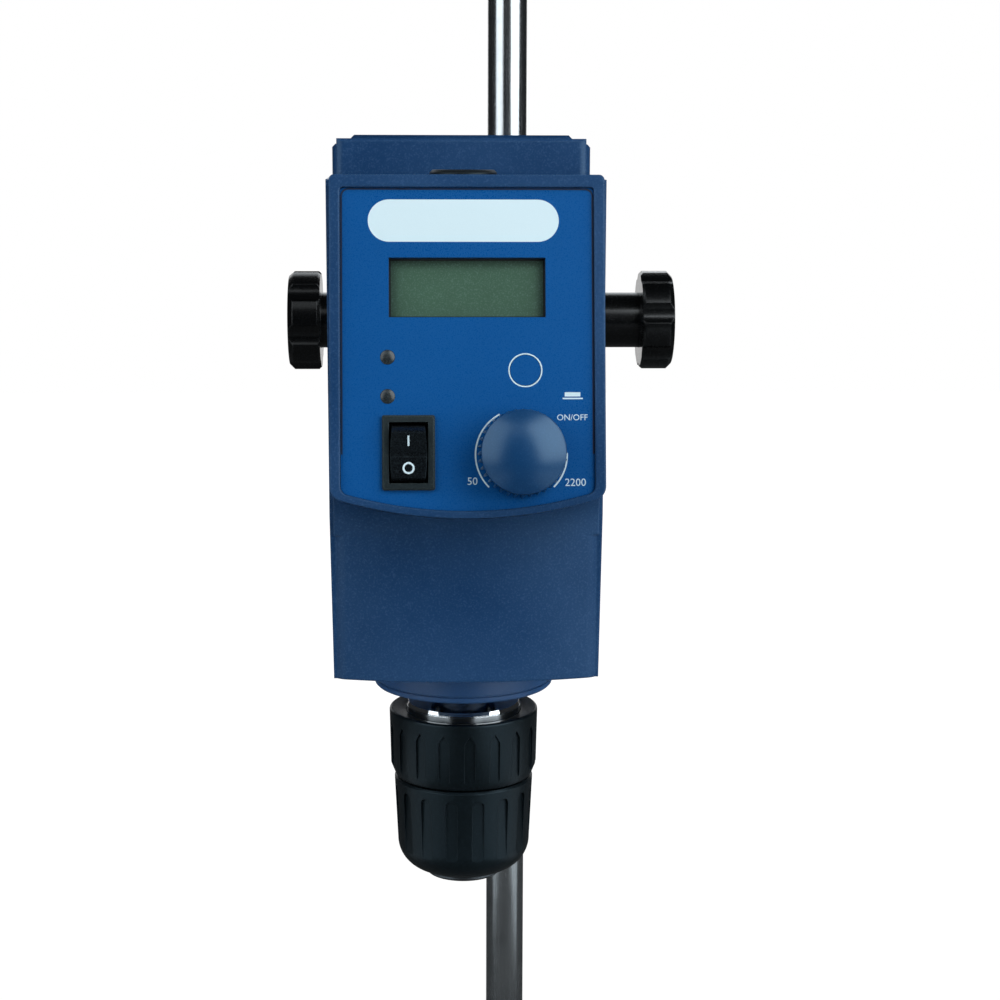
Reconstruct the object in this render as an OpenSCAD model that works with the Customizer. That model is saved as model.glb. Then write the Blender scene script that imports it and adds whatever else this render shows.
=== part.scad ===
// Overhead laboratory stirrer on a stand rod.
// Frame: +Z up, the front panel faces -Y, the spindle axis is X = 0, Y = 0.
// The origin is the mouth of the chuck, in the plane of the nose ring.

/* [Stand] */
// Diameter of the stand rod
rod_d = 16; // [12:0.5:18]
// Length of the stand rod without its threaded foot
rod_length = 600; // [500:10:900]
// How far the rod reaches below the chuck's mouth
rod_below_chuck = 190; // [120:5:220]
// Distance of the rod axis to the right of the spindle axis
rod_offset_x = 22; // [20:0.5:30]
// Distance of the rod axis behind the spindle axis
rod_offset_y = 212; // [205:1:240]
// Diameter of the threaded foot that a stand base takes
foot_d = 10; // [8:0.5:12]
// Length of the threaded foot
foot_length = 18; // [12:1:30]

/* [Arm and clamp] */
// Diameter of the support arm
arm_d = 13; // [10:0.5:13]
// How far the arm reaches out of the rear housing
arm_reach = 132; // [115:1:150]
// Height of the arm's axis above the chuck's mouth
arm_height = 160; // [155:1:165]
// Length of the clamp block along the rod and along the arm
clamp_size = 34; // [28:1:40]
// Metal left around each bore of the clamp block
clamp_wall = 7; // [5:0.5:9]
// Diameter of the clamp knobs
star_d = 40.5; // [34:0.5:46]
// Thickness of the clamp knobs' grip
star_t = 13; // [9:0.5:16]
// Number of lobes on a clamp knob
star_lobes = 7; // [5:1:9]
// Diameter of the clamp knobs' hub
star_hub_d = 22.7; // [16:0.1:26]
// Length of the clamp knobs' hub
star_hub_l = 24; // [12:1:26]
// Diameter of the clamp screws
clamp_screw_d = 10; // [6:1:10]
// Distance of the left knob's grip from the arm's axis
left_knob_x = 54.4; // [52:0.1:62]
// Distance of the right knob's grip from the spindle's plane
right_knob_x = 77; // [74:0.5:84]

/* [Housing] */
// Half of the housing's width at its front corners
body_half_w = 39.9; // [38:0.1:42]
// Depth of the lower front face in front of the spindle axis
body_front = 51.3; // [50:0.1:54]
// Radius of the bowed lower front face
front_arc_r = 142; // [110:1:300]
// Radius of the front corners
front_corner_r = 6; // [3:0.5:9]
// Depth of the seam between front and rear housing behind the axis
seam_y = 25.5; // [23:0.5:28]
// Depth of the rear face behind the axis
rear_y = 118; // [112:1:122]
// Radius of the rear housing's rear corners
rear_corner_r = 8; // [4:0.5:12]
// Height of the housing's underside
body_bottom = 76; // [75:0.5:77]
// Height of the platform behind the panel frame
platform_z = 221.6; // [220:0.2:222]
// Height of the rear housing's shoulders
hump_z = 233.3; // [228:0.5:240]
// Radius of the raised part's front corners
hump_corner_r = 4; // [2:0.5:6]
// Height of the raised centre field on top
hump_field_h = 1.1; // [0.4:0.1:2]
// Outward flare of the side walls towards the rear, in degrees
side_flare = 1.05; // [0:0.05:1.5]
// Draft of the side walls below the panel, in degrees
side_draft = 0.95; // [0:0.05:1.5]
// Wall thickness of both housings
wall = 3; // [2.2:0.1:3.4]

/* [Panel frame] */
// Lean of the front panel, in degrees
panel_tilt = 11.2; // [8:0.1:14]
// Depth of the panel's reference point in front of the axis
panel_front = 69.1; // [67:0.1:71]
// Height of the panel's reference point
panel_z = 137.4; // [136:0.1:139]
// Half of the frame's width
frame_half_w = 38.65; // [38:0.05:39.5]
// Height of the frame's top edge above the reference point
frame_top = 87.4; // [86:0.1:88]
// Depth of the frame's bowed lower edge below the reference point
frame_low = 9; // [8:0.1:10]
// Radius of the bowed lower edge
frame_arc_r = 129; // [110:1:200]
// Width of the frame around the panel
frame_band = 3; // [2.6:0.1:3.6]
// Depth of the panel's floor behind the frame
panel_recess = 1.6; // [1.2:0.1:2]
// Thickness of the wall behind the panel
panel_wall = 2.5; // [2:0.1:3]
// Thickness of the printed panel overlay
overlay_t = 0.6; // [0.4:0.1:0.8]
// Radius of the concave sweep under the frame
sweep_r = 20; // [12:1:24]
// Height at which the sweep starts
sweep_z = 119; // [116:0.5:121]

/* [Controls] */
// Width of the display window
lcd_w = 44; // [36:0.5:46]
// Height of the display window
lcd_h = 16.8; // [12:0.2:18]
// Height of the display's centre above the reference point
lcd_y = 55.8; // [52:0.2:57]
// Diameter of the two indicator lamps
lamp_d = 4; // [3:0.2:5]
// Distance of the lamps to the left of the middle
lamp_x = 22.4; // [18:0.2:26]
// Height of the upper lamp
lamp_y = 36.2; // [34:0.2:38]
// Distance between the two lamps
lamp_pitch = 11; // [7:0.2:12]
// Diameter of the mode key
key_d = 8.6; // [6:0.2:9]
// Distance of the mode key to the right of the middle
key_x = 16.2; // [12:0.2:20]
// Height of the mode key
key_y = 32.5; // [29:0.2:34]
// Width of the rocker switch's rim
switch_w = 14.8; // [14:0.1:16]
// Height of the rocker switch's rim
switch_h = 21; // [20:0.1:22]
// Distance of the switch to the left of the middle
switch_x = 16.6; // [15:0.1:20]
// Height of the switch's centre
switch_y = 9.4; // [8.5:0.1:11]
// Swing of the rocker from one end to the other, in degrees
rocker_swing = 18; // [12:1:20]
// Diameter of the speed knob at its foot
knob_d = 24.8; // [20:0.2:26]
// Diameter of the speed knob below its dome
knob_top_d = 22.8; // [18:0.2:24]
// Height of the speed knob
knob_h = 15; // [12:0.5:18]
// Number of flutes on the speed knob's skirt
knob_flutes = 30; // [16:1:36]
// Distance of the knob to the right of the middle
knob_x = 15.1; // [13:0.1:17]
// Height of the knob's axis
knob_y = 9; // [8:0.1:10]
// Travel of the knob when it is pushed
push_travel = 0.8; // [0.4:0.1:0.9]

/* [Drive] */
// Outer diameter of the hollow spindle
spindle_d = 17; // [15:0.5:18]
// Bore that a stirring shaft passes through
through_d = 10.6; // [10.4:0.1:11.5]
// Outer diameter of the two ball bearings
bearing_d = 35; // [32:0.5:36]
// Width of a ball bearing
bearing_w = 10; // [8:0.5:11]
// Diameter of the bearing flange under the housing
flange_d = 56.2; // [52:0.2:58]
// Height of the bearing flange below the housing
flange_h = 13; // [12:0.2:13.6]
// Pitch radius of the pulley on the spindle
spindle_pulley_r = 24; // [20:1:25]
// Pitch radius of the pulley on the motor
motor_pulley_r = 12; // [10:1:14]
// Distance between the spindle and the motor shaft
motor_y = 64; // [63:0.5:66]
// Diameter of the motor
motor_d = 54; // [48:1:55]
// Number of ribs on the drive belt
belt_ribs = 5; // [3:1:6]

/* [Chuck] */
// Largest stirring shaft that the chuck takes
chuck_max_d = 10; // [9:0.1:10]
// Smallest stirring shaft that the chuck closes on
chuck_min_d = 3; // [2.8:0.1:5]
// Slope of the jaws against the axis, in degrees
jaw_slope = 15; // [13:0.5:16]
// Diameter of a jaw
jaw_d = 7.6; // [7.2:0.1:7.8]
// Length of the grip faces of the jaws
grip_length = 20.7; // [18:0.1:21.5]
// Height of the chuck's top edge
chuck_top = 58.1; // [57:0.1:58.6]
// Largest radius of the upper sleeve
upper_r = 23.6; // [22.5:0.1:24.5]
// Largest radius of the lower sleeve
lower_r = 22.1; // [21.6:0.1:22.4]
// Height of the joint between the two sleeves
sleeve_joint_z = 33; // [32:0.5:34]
// Number of grooves on the upper sleeve
upper_grooves = 18; // [8:1:20]
// Width of a groove on the upper sleeve
upper_groove_w = 2.6; // [1.6:0.1:3]
// Number of flutes on the lower sleeve
lower_flutes = 16; // [8:1:18]
// Width of a flute on the lower sleeve
lower_flute_w = 3.7; // [2:0.1:4]

/* [Hidden] */
$fn = 72;
smooth_fn = 240;      // for the wide, flat arcs
eps = 0.01;

// Clearances
running = 0.05;       // radial play of a shaft in its bearing or guide
slide_gap = 0.08;     // radial play of a jaw in its bore
free_gap = 0.3;       // between pieces that pass each other
fit_gap = 0.1;        // between a fixed piece and its cut-out

// Housing
body_h = platform_z - body_bottom;
frame_corner_r = 4;
frame_top_r = 1.5;
frame_depth = 40;
rear_half_w = body_half_w + (rear_y + body_front) * tan(side_flare);
hump_half_w = body_half_w + (seam_y + body_front - front_corner_r) * tan(side_flare);
trim = 20;            // thickness of the blocks that trim the side walls
panel_floor = -panel_recess;
overlay_top = panel_floor + overlay_t;
panel_back = panel_floor - panel_wall;
inset_w = frame_half_w - frame_band;
inset_low = frame_low - 2;
inset_top = frame_top - frame_band - 0.5;
inset_arc_r = frame_arc_r - 3;
inset_corner_r = 2.5;

// Screw columns that join the two housings
column_r = 4.2;
column_x = body_half_w - 5.9;
column_low_z = body_bottom + 10;
column_high_z = platform_z - 9.6;
housing_screw_d = 4;
housing_screw_head_d = 7;
column_front_y = seam_y - 17;
head_seat_y = rear_y - 10;

// Spindle and bearings
spindle_r = spindle_d / 2;
spindle_foot_z = 42;
spindle_top_z = platform_z - wall - 1.6;
spindle_collar_r = spindle_r + 2;
flange_z = body_bottom - flange_h;
sleeve_r = bearing_d / 2 + 3.5;
lower_bearing_z = body_bottom + 4;
upper_bearing_z = lower_bearing_z + 42;
sleeve_top_z = upper_bearing_z + bearing_w + 1;
bearing_race = 3.2;

// Drive
plate_t = 4;
plate_z = sleeve_top_z;
plate_top = plate_z + plate_t;
pulley_z = plate_top + 4;
rib_pitch = 2.34;
rib_depth = 1.6;
pulley_h = (belt_ribs + 2) * rib_pitch;
pulley_hub_r = spindle_r + 3;
belt_back = 1.3;
belt_rib_w = 0.9;
belt_rib_depth = 0.9;
belt_sink = 0.04;     // how far the straight runs lie inside the tangents
belt_lean = asin((spindle_pulley_r - motor_pulley_r) / motor_y);
belt_span = sqrt(pow(motor_y, 2) - pow(spindle_pulley_r - motor_pulley_r, 2));
motor_h = 48;
motor_z = plate_z - motor_h;
motor_shaft_r = 4;
motor_wall = 1.5;
motor_cap = 4;
motor_boss_r = 11;
rotor_r = 14.4;
stator_h = 28;
stator_z = motor_z + 10;
stator_slots = 12;

// Chuck
nose_r = 12.2;
dish_r = 17.9;
collar_r = 18;
collar_z = sleeve_joint_z + 1;
chuck_core_top = chuck_top - 3.1;
jaw_r = jaw_d / 2;
jaw_phase = -90;
jaw_foot_r = chuck_max_d / 2 + jaw_r / cos(jaw_slope) - grip_length * tan(jaw_slope);
jaw_length = 41;
jaw_travel_r = (chuck_max_d - chuck_min_d) / 2;
jaw_wedge_r = jaw_travel_r + 0.12;
chuck_bore_r = chuck_max_d / 2 + 0.4;
jaw_outer_foot_r = jaw_foot_r + jaw_r / cos(jaw_slope);
nut_z = 22.5;
nut_h = 9;
nut_r = 18.6;
sleeve_dome_r = 9.6;
sleeve_low_z = 1.8;
sleeve_side_r = lower_r - 1;
upper_z = sleeve_joint_z + 0.3;

// Clamp
clamp_x0 = -arm_d / 2 - clamp_wall;
clamp_x1 = rod_offset_x + rod_d / 2 + clamp_wall;

function jaw_axis_r(z) = jaw_foot_r + z * tan(jaw_slope);
function jaw_outer_r(z) = jaw_outer_foot_r + z * tan(jaw_slope);
function ring_angles(n) = [for (i = [0:n - 1]) i * 360 / n];

// ---------- helpers ----------

// Puts its children in the panel's frame: X right, Y up the panel, Z out of it.
module on_panel() {
    translate([0, -panel_front, panel_z]) rotate([90 - panel_tilt, 0, 0]) children();
}

module both_sides() {
    children();
    mirror([1, 0, 0]) children();
}

module tube(r_out, r_in, h) {
    difference() {
        cylinder(r = r_out, h = h);
        translate([0, 0, -1]) cylinder(r = r_in, h = h + 2);
    }
}

// Tube along +Y
module tube_y(r_out, r_in, h) {
    rotate([-90, 0, 0]) tube(r_out, r_in, h);
}

module cylinder_x(r, h) {
    rotate([0, 90, 0]) cylinder(r = r, h = h);
}

// Outline with straight sides and a bowed front edge at -front, rounded where they meet.
module bowed_outline(half_w, arc_r, front, corner_r, back, back_r = 0) {
    x_c = half_w - corner_r;
    y_c = -front + arc_r - sqrt(pow(arc_r - corner_r, 2) - pow(x_c, 2));
    x_t = x_c * arc_r / (arc_r - corner_r);
    intersection() {
        translate([0, arc_r - front]) circle(r = arc_r, $fn = smooth_fn);
        translate([-x_t, -front - 1]) square([2 * x_t, y_c + front + 2]);
    }
    for (s = [-1, 1]) translate([s * x_c, y_c]) circle(r = corner_r);
    translate([-half_w, y_c]) square([2 * half_w, back - back_r - y_c]);
    if (back_r > 0) {
        translate([back_r - half_w, y_c]) square([2 * (half_w - back_r), back - y_c]);
        for (s = [-1, 1]) translate([s * (half_w - back_r), back - back_r]) circle(r = back_r);
    }
}

module rounded_rect(w, h, r) {
    square([w - 2 * r, h], center = true);
    square([w, h - 2 * r], center = true);
    for (sx = [-1, 1], sy = [-1, 1])
        translate([sx * (w / 2 - r), sy * (h / 2 - r)]) circle(r = r);
}

// Blocks that trim the side walls to their flare and draft, inset by a wall.
module side_trims(inset) {
    half_w = body_half_w - inset;
    start_y = front_corner_r - body_front;
    both_sides() {
        translate([half_w, start_y, 0]) rotate([0, 0, -side_flare])
            cube([trim, rear_y + body_front + trim, hump_z + trim]);
        translate([half_w, start_y, sweep_z + 6]) rotate([0, 0, -side_flare])
            rotate([0, side_draft, 0]) translate([0, -trim, -90])
                cube([trim, rear_y + body_front + 2 * trim, 90]);
    }
}

// Outline of the display, lamp, key, switch and knob cut-outs
module panel_cutouts(grow) {
    translate([0, lcd_y]) square([lcd_w + 2 * grow, lcd_h + 2 * grow], center = true);
    for (i = [0, 1]) translate([-lamp_x, lamp_y - i * lamp_pitch]) circle(d = lamp_d + 2 * fit_gap);
    translate([key_x, key_y]) circle(d = key_d + 0.4);
    translate([-switch_x, switch_y]) square([switch_w - 1.7, switch_h - 1.7], center = true);
    translate([knob_x, knob_y]) circle(d = 7.2 + 2 * fit_gap);
}

// ---------- stand and clamp ----------

module stand_rod() {
    color("silver") translate([rod_offset_x, rod_offset_y, -rod_below_chuck]) {
        translate([0, 0, -foot_length]) {
            cylinder(r1 = foot_d / 2 - 1, r2 = foot_d / 2, h = 1);
            translate([0, 0, 1]) cylinder(d = foot_d, h = foot_length);
        }
        cylinder(r1 = rod_d / 2 - 1, r2 = rod_d / 2, h = 1);
        translate([0, 0, 1]) cylinder(d = rod_d, h = rod_length - 2.5);
        translate([0, 0, rod_length - 1.5]) cylinder(r1 = rod_d / 2, r2 = rod_d / 2 - 1.5, h = 1.5);
    }
}

// Block with one bore for the rod and, square to it and beside it, one for the arm.
module clamp_body() {
    half = clamp_size / 2;
    arm_side_r = arm_d / 2 + clamp_wall;
    rod_side_r = rod_d / 2 + clamp_wall;
    color([0.16, 0.17, 0.18]) difference() {
        union() {
            translate([0, rod_offset_y - half, arm_height]) rotate([-90, 0, 0])
                cylinder(r = arm_side_r, h = clamp_size);
            translate([rod_offset_x, rod_offset_y, arm_height - half])
                cylinder(r = rod_side_r, h = clamp_size);
            translate([0, rod_offset_y - rod_side_r, arm_height - arm_side_r])
                cube([rod_offset_x, 2 * rod_side_r, 2 * arm_side_r]);
            translate([clamp_x0 - 4, rod_offset_y, arm_height]) cylinder_x(clamp_screw_d / 2 + 4, 8);
            translate([clamp_x1 - 4, rod_offset_y, arm_height]) cylinder_x(clamp_screw_d / 2 + 4, 8);
        }
        translate([rod_offset_x, rod_offset_y, arm_height - half - 1])
            cylinder(r = rod_d / 2 + running, h = clamp_size + 2);
        translate([0, rod_offset_y - rod_side_r - 5, arm_height]) rotate([-90, 0, 0])
            cylinder(r = arm_d / 2 + running, h = 2 * rod_side_r + 10);
        translate([clamp_x0 - 5, rod_offset_y, arm_height])
            cylinder_x(clamp_screw_d / 2 + running, clamp_wall + 7);
        translate([clamp_x1 - clamp_wall - 2, rod_offset_y, arm_height])
            cylinder_x(clamp_screw_d / 2 + running, clamp_wall + 7);
    }
}

// Star grip on a hub; the hub points along -Z and the grip starts at Z = 0.
module star_knob() {
    color([0.06, 0.07, 0.08]) difference() {
        union() {
            intersection() {
                linear_extrude(star_t) difference() {
                    circle(d = star_d);
                    for (a = ring_angles(star_lobes)) rotate(a)
                        translate([star_d / 2 + star_d * 0.105, 0]) circle(r = star_d * 0.155);
                }
                rotate_extrude() polygon([
                    [0, 0], [star_d / 2 - 1, 0], [star_d / 2, 1], [star_d / 2, star_t - 2],
                    [star_d / 2 - 2, star_t], [0, star_t]
                ]);
            }
            translate([0, 0, -star_hub_l]) cylinder(d = star_hub_d, h = star_hub_l + eps);
        }
        translate([0, 0, star_t - 1]) cylinder(d = star_d * 0.45, h = 2);
        translate([0, 0, -star_hub_l - 1]) cylinder(d = clamp_screw_d, h = star_hub_l);
    }
}

module left_clamp_knob() {
    translate([-left_knob_x, rod_offset_y, arm_height]) rotate([0, -90, 0]) star_knob();
}

module right_clamp_knob() {
    translate([right_knob_x, rod_offset_y, arm_height]) rotate([0, 90, 0]) star_knob();
}

// Screw with a turned-down tip, from the hub's bore to the arm or rod it presses on
module clamp_screw(length) {
    tip = 2;
    color("silver") {
        cylinder(r1 = clamp_screw_d / 2 - tip / 2, r2 = clamp_screw_d / 2, h = tip);
        translate([0, 0, tip]) cylinder(d = clamp_screw_d, h = length - tip);
    }
}

module left_clamp_screw() {
    tip_x = arm_d / 2 + free_gap;
    translate([-tip_x, rod_offset_y, arm_height]) rotate([0, -90, 0])
        clamp_screw(left_knob_x - 1 - tip_x);
}

module right_clamp_screw() {
    tip_x = rod_offset_x + rod_d / 2 + free_gap;
    translate([tip_x, rod_offset_y, arm_height]) rotate([0, 90, 0])
        clamp_screw(right_knob_x - 1 - tip_x);
}

// ---------- support arm ----------

arm_root_y = rear_y - 19;
arm_boss_r = 12;
arm_nut_t = 7;

module support_arm() {
    color("silver") translate([0, arm_root_y, arm_height]) rotate([-90, 0, 0]) {
        cylinder(d = arm_d, h = arm_reach + 19 - 1.5);
        translate([0, 0, arm_reach + 19 - 1.5]) cylinder(r1 = arm_d / 2, r2 = arm_d / 2 - 1.5, h = 1.5);
    }
}

module arm_nut() {
    color("silver") translate([0, rear_y, arm_height]) rotate([-90, 0, 0]) intersection() {
        difference() {
            cylinder(d = 26, h = arm_nut_t, $fn = 6);
            translate([0, 0, -1]) cylinder(d = arm_d, h = arm_nut_t + 2);
        }
        rotate_extrude() polygon([[0, 0], [13, 0], [13, arm_nut_t - 1], [11.4, arm_nut_t], [0, arm_nut_t]]);
    }
}

// ---------- housings ----------

// Outer or inner body of the front housing, without the panel head
module front_block(inset) {
    difference() {
        translate([0, 0, body_bottom + inset]) linear_extrude(body_h - 2 * inset)
            bowed_outline(body_half_w - inset + (inset > 0 ? 0 : eps), front_arc_r - inset,
                body_front - inset, front_corner_r - inset / 2, front_corner_r - body_front + 1);
        side_trims(inset);
    }
    difference() {
        translate([-rear_half_w, front_corner_r - body_front, body_bottom + inset])
            cube([2 * rear_half_w, seam_y + body_front - front_corner_r + (inset > 0 ? 1 : 0), body_h - 2 * inset]);
        side_trims(inset);
    }
}

// Concave sweep that carries the lower front face forward into the panel head
module front_sweep() {
    intersection() {
        difference() {
            translate([0, front_arc_r - body_front, sweep_z])
                rotate_extrude($fn = smooth_fn) difference() {
                    translate([front_arc_r - 2, 0]) square([sweep_r * 0.45 + 2, sweep_r * 0.8]);
                    translate([front_arc_r + sweep_r, 0]) circle(r = sweep_r);
                }
            side_trims(0);
        }
        translate([-frame_half_w, -body_front - sweep_r, sweep_z])
            cube([2 * frame_half_w, sweep_r + 10, sweep_r]);
    }
}

module frame_outline() {
    bowed_outline(frame_half_w, frame_arc_r, frame_low, frame_corner_r, frame_top, frame_top_r);
}

module inset_outline(shrink) {
    bowed_outline(inset_w - shrink, inset_arc_r - shrink, inset_low - shrink, inset_corner_r,
        inset_top - shrink, 1);
}

module board_posts() {
    for (sx = [-1, 1], y = [board_low + 4, board_high - 4])
        translate([sx * board_post_x, y, board_z]) tube(3, 1.2, panel_back - board_z + eps);
}

board_z = panel_back - 10.4;
board_t = 1.6;
board_low = 22;
board_high = 81;
board_post_x = 31;

module housing_columns(y0, y1, bore_r) {
    both_sides() for (z = [column_low_z, column_high_z])
        translate([column_x, y0, z]) tube_y(column_r, bore_r, y1 - y0);
}

module front_housing() {
    color([0.13, 0.26, 0.45]) {
        difference() {
            union() {
                front_block(0);
                on_panel() translate([0, 0, -frame_depth]) linear_extrude(frame_depth) frame_outline();
                front_sweep();
            }
            front_block(wall);
            on_panel() {
                translate([0, 0, panel_floor]) linear_extrude(3) inset_outline(0);
                translate([0, 0, -frame_depth]) linear_extrude(frame_depth + panel_back) inset_outline(0.6);
                translate([0, 0, -6]) linear_extrude(8) panel_cutouts(0);
            }
            translate([0, 0, body_bottom - 1]) cylinder(r = sleeve_r + fit_gap, h = wall + 2);
            translate([0, 0, platform_z - wall - 1]) cylinder(r = 7.5, h = wall + 2);
            for (a = [45:90:315]) rotate(a) translate([sleeve_r + 3.4, 0, body_bottom - 1])
                cylinder(r = 1.6, h = wall + 2);
            both_sides() for (z = [column_low_z, column_high_z])
                translate([column_x, column_front_y, z]) rotate([-90, 0, 0]) cylinder(r = column_r - 0.5, h = 30);
        }
        housing_columns(column_front_y, seam_y, housing_screw_d / 2 - 0.3);
        on_panel() board_posts();
    }
}

// Rear housing with the raised part that stands above the platform
module rear_block(inset) {
    depth = rear_y - seam_y;
    open = inset > 0 ? 1 : 0;
    difference() {
        union() {
            translate([0, 0, body_bottom + inset]) linear_extrude(body_h - inset)
                rear_outline(rear_half_w - inset, seam_y - open, rear_y - inset, 0, rear_corner_r - inset);
            translate([0, 0, body_bottom + inset + 60]) linear_extrude(hump_z - body_bottom - 60 - 2 * inset)
                rear_outline(hump_half_w - inset, seam_y + inset, rear_y - inset,
                    max(hump_corner_r - inset, 0.6), rear_corner_r - inset);
            translate([0, 0, body_bottom + inset + 60]) linear_extrude(hump_z - body_bottom - 60 - 2 * inset)
                rear_outline(rear_half_w - inset, seam_y + inset + 12, rear_y - inset, 0, rear_corner_r - inset);
        }
        side_trims(inset);
    }
}

module rear_outline(half_w, front, back, front_r, back_r) {
    translate([-half_w, front + front_r]) square([2 * half_w, back - front - front_r - back_r]);
    translate([front_r - half_w, front]) square([2 * (half_w - front_r), back - front - back_r]);
    translate([back_r - half_w, front + back_r]) square([2 * (half_w - back_r), back - front - back_r]);
    for (s = [-1, 1]) {
        translate([s * (half_w - back_r), back - back_r]) circle(r = back_r);
        if (front_r > 0) translate([s * (half_w - front_r), front + front_r]) circle(r = front_r);
    }
}

hump_edge = 1.2;

// 45-degree bevel along the raised part's four top edges
module hump_bevels() {
    both_sides() translate([rear_half_w - hump_edge * 1.1, seam_y - 1, hump_z])
        rotate([0, 45, -side_flare]) translate([0, -5, -hump_edge * 2]) cube([9, rear_y - seam_y + 9, 9]);
    for (y = [seam_y, rear_y]) translate([-50, y, hump_z]) rotate([45, 0, 0])
        translate([0, -hump_edge * 0.707 * (y == seam_y ? 1 : 1), -hump_edge * 0.707])
            cube([100, hump_edge * 1.414, hump_edge * 1.414]);
}

vent_n = 5;
vent_pitch = 6;
vent_w = 24;
vent_h = 2.4;
inlet_x = -19;
inlet_z = body_bottom + 30;
inlet_w = 27;
inlet_h = 20;

module rear_housing() {
    color([0.13, 0.26, 0.45]) {
        difference() {
            union() {
                difference() {
                    union() {
                        rear_block(0);
                        translate([0, seam_y + 1.5, hump_z - eps]) rotate([-90, 0, 0])
                            linear_extrude(rear_y - seam_y - 4) polygon([
                                [-35.2, 0], [-35.2 + hump_field_h, -hump_field_h],
                                [35.2 - hump_field_h, -hump_field_h], [35.2, 0]
                            ]);
                    }
                    rear_block(wall);
                    hump_bevels();
                }
                translate([0, arm_root_y, arm_height]) rotate([-90, 0, 0]) cylinder(r = arm_boss_r, h = 18);
                both_sides() translate([rear_half_w - 8, seam_y + 6, power_z - 3])
                    cube([6, rear_y - seam_y - 12, 3]);
            }
            translate([0, arm_root_y - 1, arm_height]) rotate([-90, 0, 0]) cylinder(d = arm_d, h = 40);
            translate([inlet_x, rear_y, inlet_z]) cube([inlet_w, 4 * wall, inlet_h], center = true);
            for (i = [0:vent_n - 1])
                translate([8, rear_y - wall - 1, body_bottom + 14 + i * vent_pitch])
                    cube([vent_w, wall + 2, vent_h]);
            for (i = [0:vent_n]) translate([-vent_w / 2, motor_y - 16 + i * vent_pitch, body_bottom - 1])
                cube([vent_w, vent_h, wall + 2]);
            both_sides() for (z = [column_low_z, column_high_z]) translate([column_x, seam_y, z])
                rotate([-90, 0, 0]) cylinder(r = column_r - 0.5, h = 200);
        }
        difference() {
            housing_columns(seam_y, rear_y, housing_screw_d / 2 + 0.2);
            both_sides() for (z = [column_low_z, column_high_z]) translate([column_x, head_seat_y, z])
                rotate([-90, 0, 0]) cylinder(d = housing_screw_head_d + 0.4, h = 20);
        }
    }
}

module housing_screws() {
    color("silver") both_sides() for (z = [column_low_z, column_high_z])
        translate([column_x, column_front_y + 2, z]) rotate([-90, 0, 0]) {
            cylinder(d = housing_screw_d - 0.6, h = seam_y - column_front_y - 2);
            cylinder(d = housing_screw_d - 0.6, h = head_seat_y - column_front_y - 2 + eps);
            translate([0, 0, head_seat_y - column_front_y - 2]) difference() {
                cylinder(d = housing_screw_head_d, h = 4);
                translate([0, 0, 2]) cylinder(d = 3.6, h = 3, $fn = 6);
            }
        }
}

// ---------- panel ----------

module panel_overlay() {
    color([0.09, 0.31, 0.56]) on_panel() translate([0, 0, panel_floor]) linear_extrude(overlay_t)
        difference() {
            inset_outline(fit_gap);
            panel_cutouts(0);
        }
}

glass_t = 1.2;

module display_glass() {
    color([0.25, 0.37, 0.3]) on_panel() translate([0, lcd_y, panel_back - glass_t])
        linear_extrude(glass_t) square([lcd_w + 6, lcd_h + 6], center = true);
}

module display_module() {
    color([0.1, 0.1, 0.1]) on_panel() translate([0, lcd_y, panel_back - glass_t - 4]) {
        linear_extrude(4) square([lcd_w + 9, lcd_h + 9], center = true);
        for (sx = [-1, 1]) translate([sx * (lcd_w / 2 - 2), 0, board_z - panel_back + glass_t + 4])
            cylinder(r = 1, h = panel_back - glass_t - 4 - board_z + eps);
    }
}

module control_board() {
    color([0.1, 0.35, 0.2]) on_panel() translate([0, 0, board_z - board_t]) {
        linear_extrude(board_t) difference() {
            translate([-34, board_low]) square([68, board_high - board_low]);
            for (sx = [-1, 1], y = [board_low + 4, board_high - 4]) translate([sx * board_post_x, y]) circle(r = 1.6);
        }
        translate([key_x - 3, key_y - 3, board_t - eps]) cube([6, 6, 1.6]);
        translate([-12, 34, -2.4]) cube([14, 14, 2.4 + eps]);
        translate([8, 60, -6]) cube([18, 6, 6 + eps]);
        for (i = [0:3]) translate([-24 + i * 5, 66, -5]) cylinder(r = 1.8, h = 5 + eps);
    }
}

module board_screws() {
    color("silver") on_panel() for (sx = [-1, 1], y = [board_low + 4, board_high - 4])
        translate([sx * board_post_x, y, board_z - board_t]) {
            translate([0, 0, -1.8]) cylinder(r = 1.2, h = board_t + 6.8);
            translate([0, 0, -1.8]) cylinder(r = 2.6, h = 1.8);
        }
}

module indicator_lamps() {
    dome = 0.5;
    color([0.25, 0.27, 0.3]) on_panel() for (i = [0, 1])
        translate([-lamp_x, lamp_y - i * lamp_pitch, board_z]) {
            cylinder(d = lamp_d, h = overlay_top - board_z);
            translate([0, 0, overlay_top - board_z]) intersection() {
                cylinder(d = lamp_d, h = dome);
                translate([0, 0, dome - 5]) sphere(r = 5);
            }
        }
}

// Key cap that lies flush with the overlay, with a lip behind the wall and a stem to the board
module mode_key() {
    color([0.09, 0.31, 0.56]) on_panel() translate([key_x, key_y, 0]) {
        translate([0, 0, panel_back - free_gap]) cylinder(d = key_d, h = overlay_top - panel_back + free_gap);
        translate([0, 0, panel_back - free_gap - 1]) cylinder(d = key_d + 3, h = 1);
        translate([0, 0, board_z + 1.6 + 0.8]) cylinder(r = 1.5, h = panel_back - free_gap - 1 - board_z - 2.4 + eps);
    }
}

// ---------- rocker switch ----------

rim_t = 1.5;
rim_top = overlay_top + rim_t;
pivot_z = rim_top - 3.4;
rocker_w = switch_w - 4.6;
rocker_l = switch_h - 5.2;
switch_depth = 16;

module at_switch() {
    on_panel() translate([-switch_x, switch_y, 0]) children();
}

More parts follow.
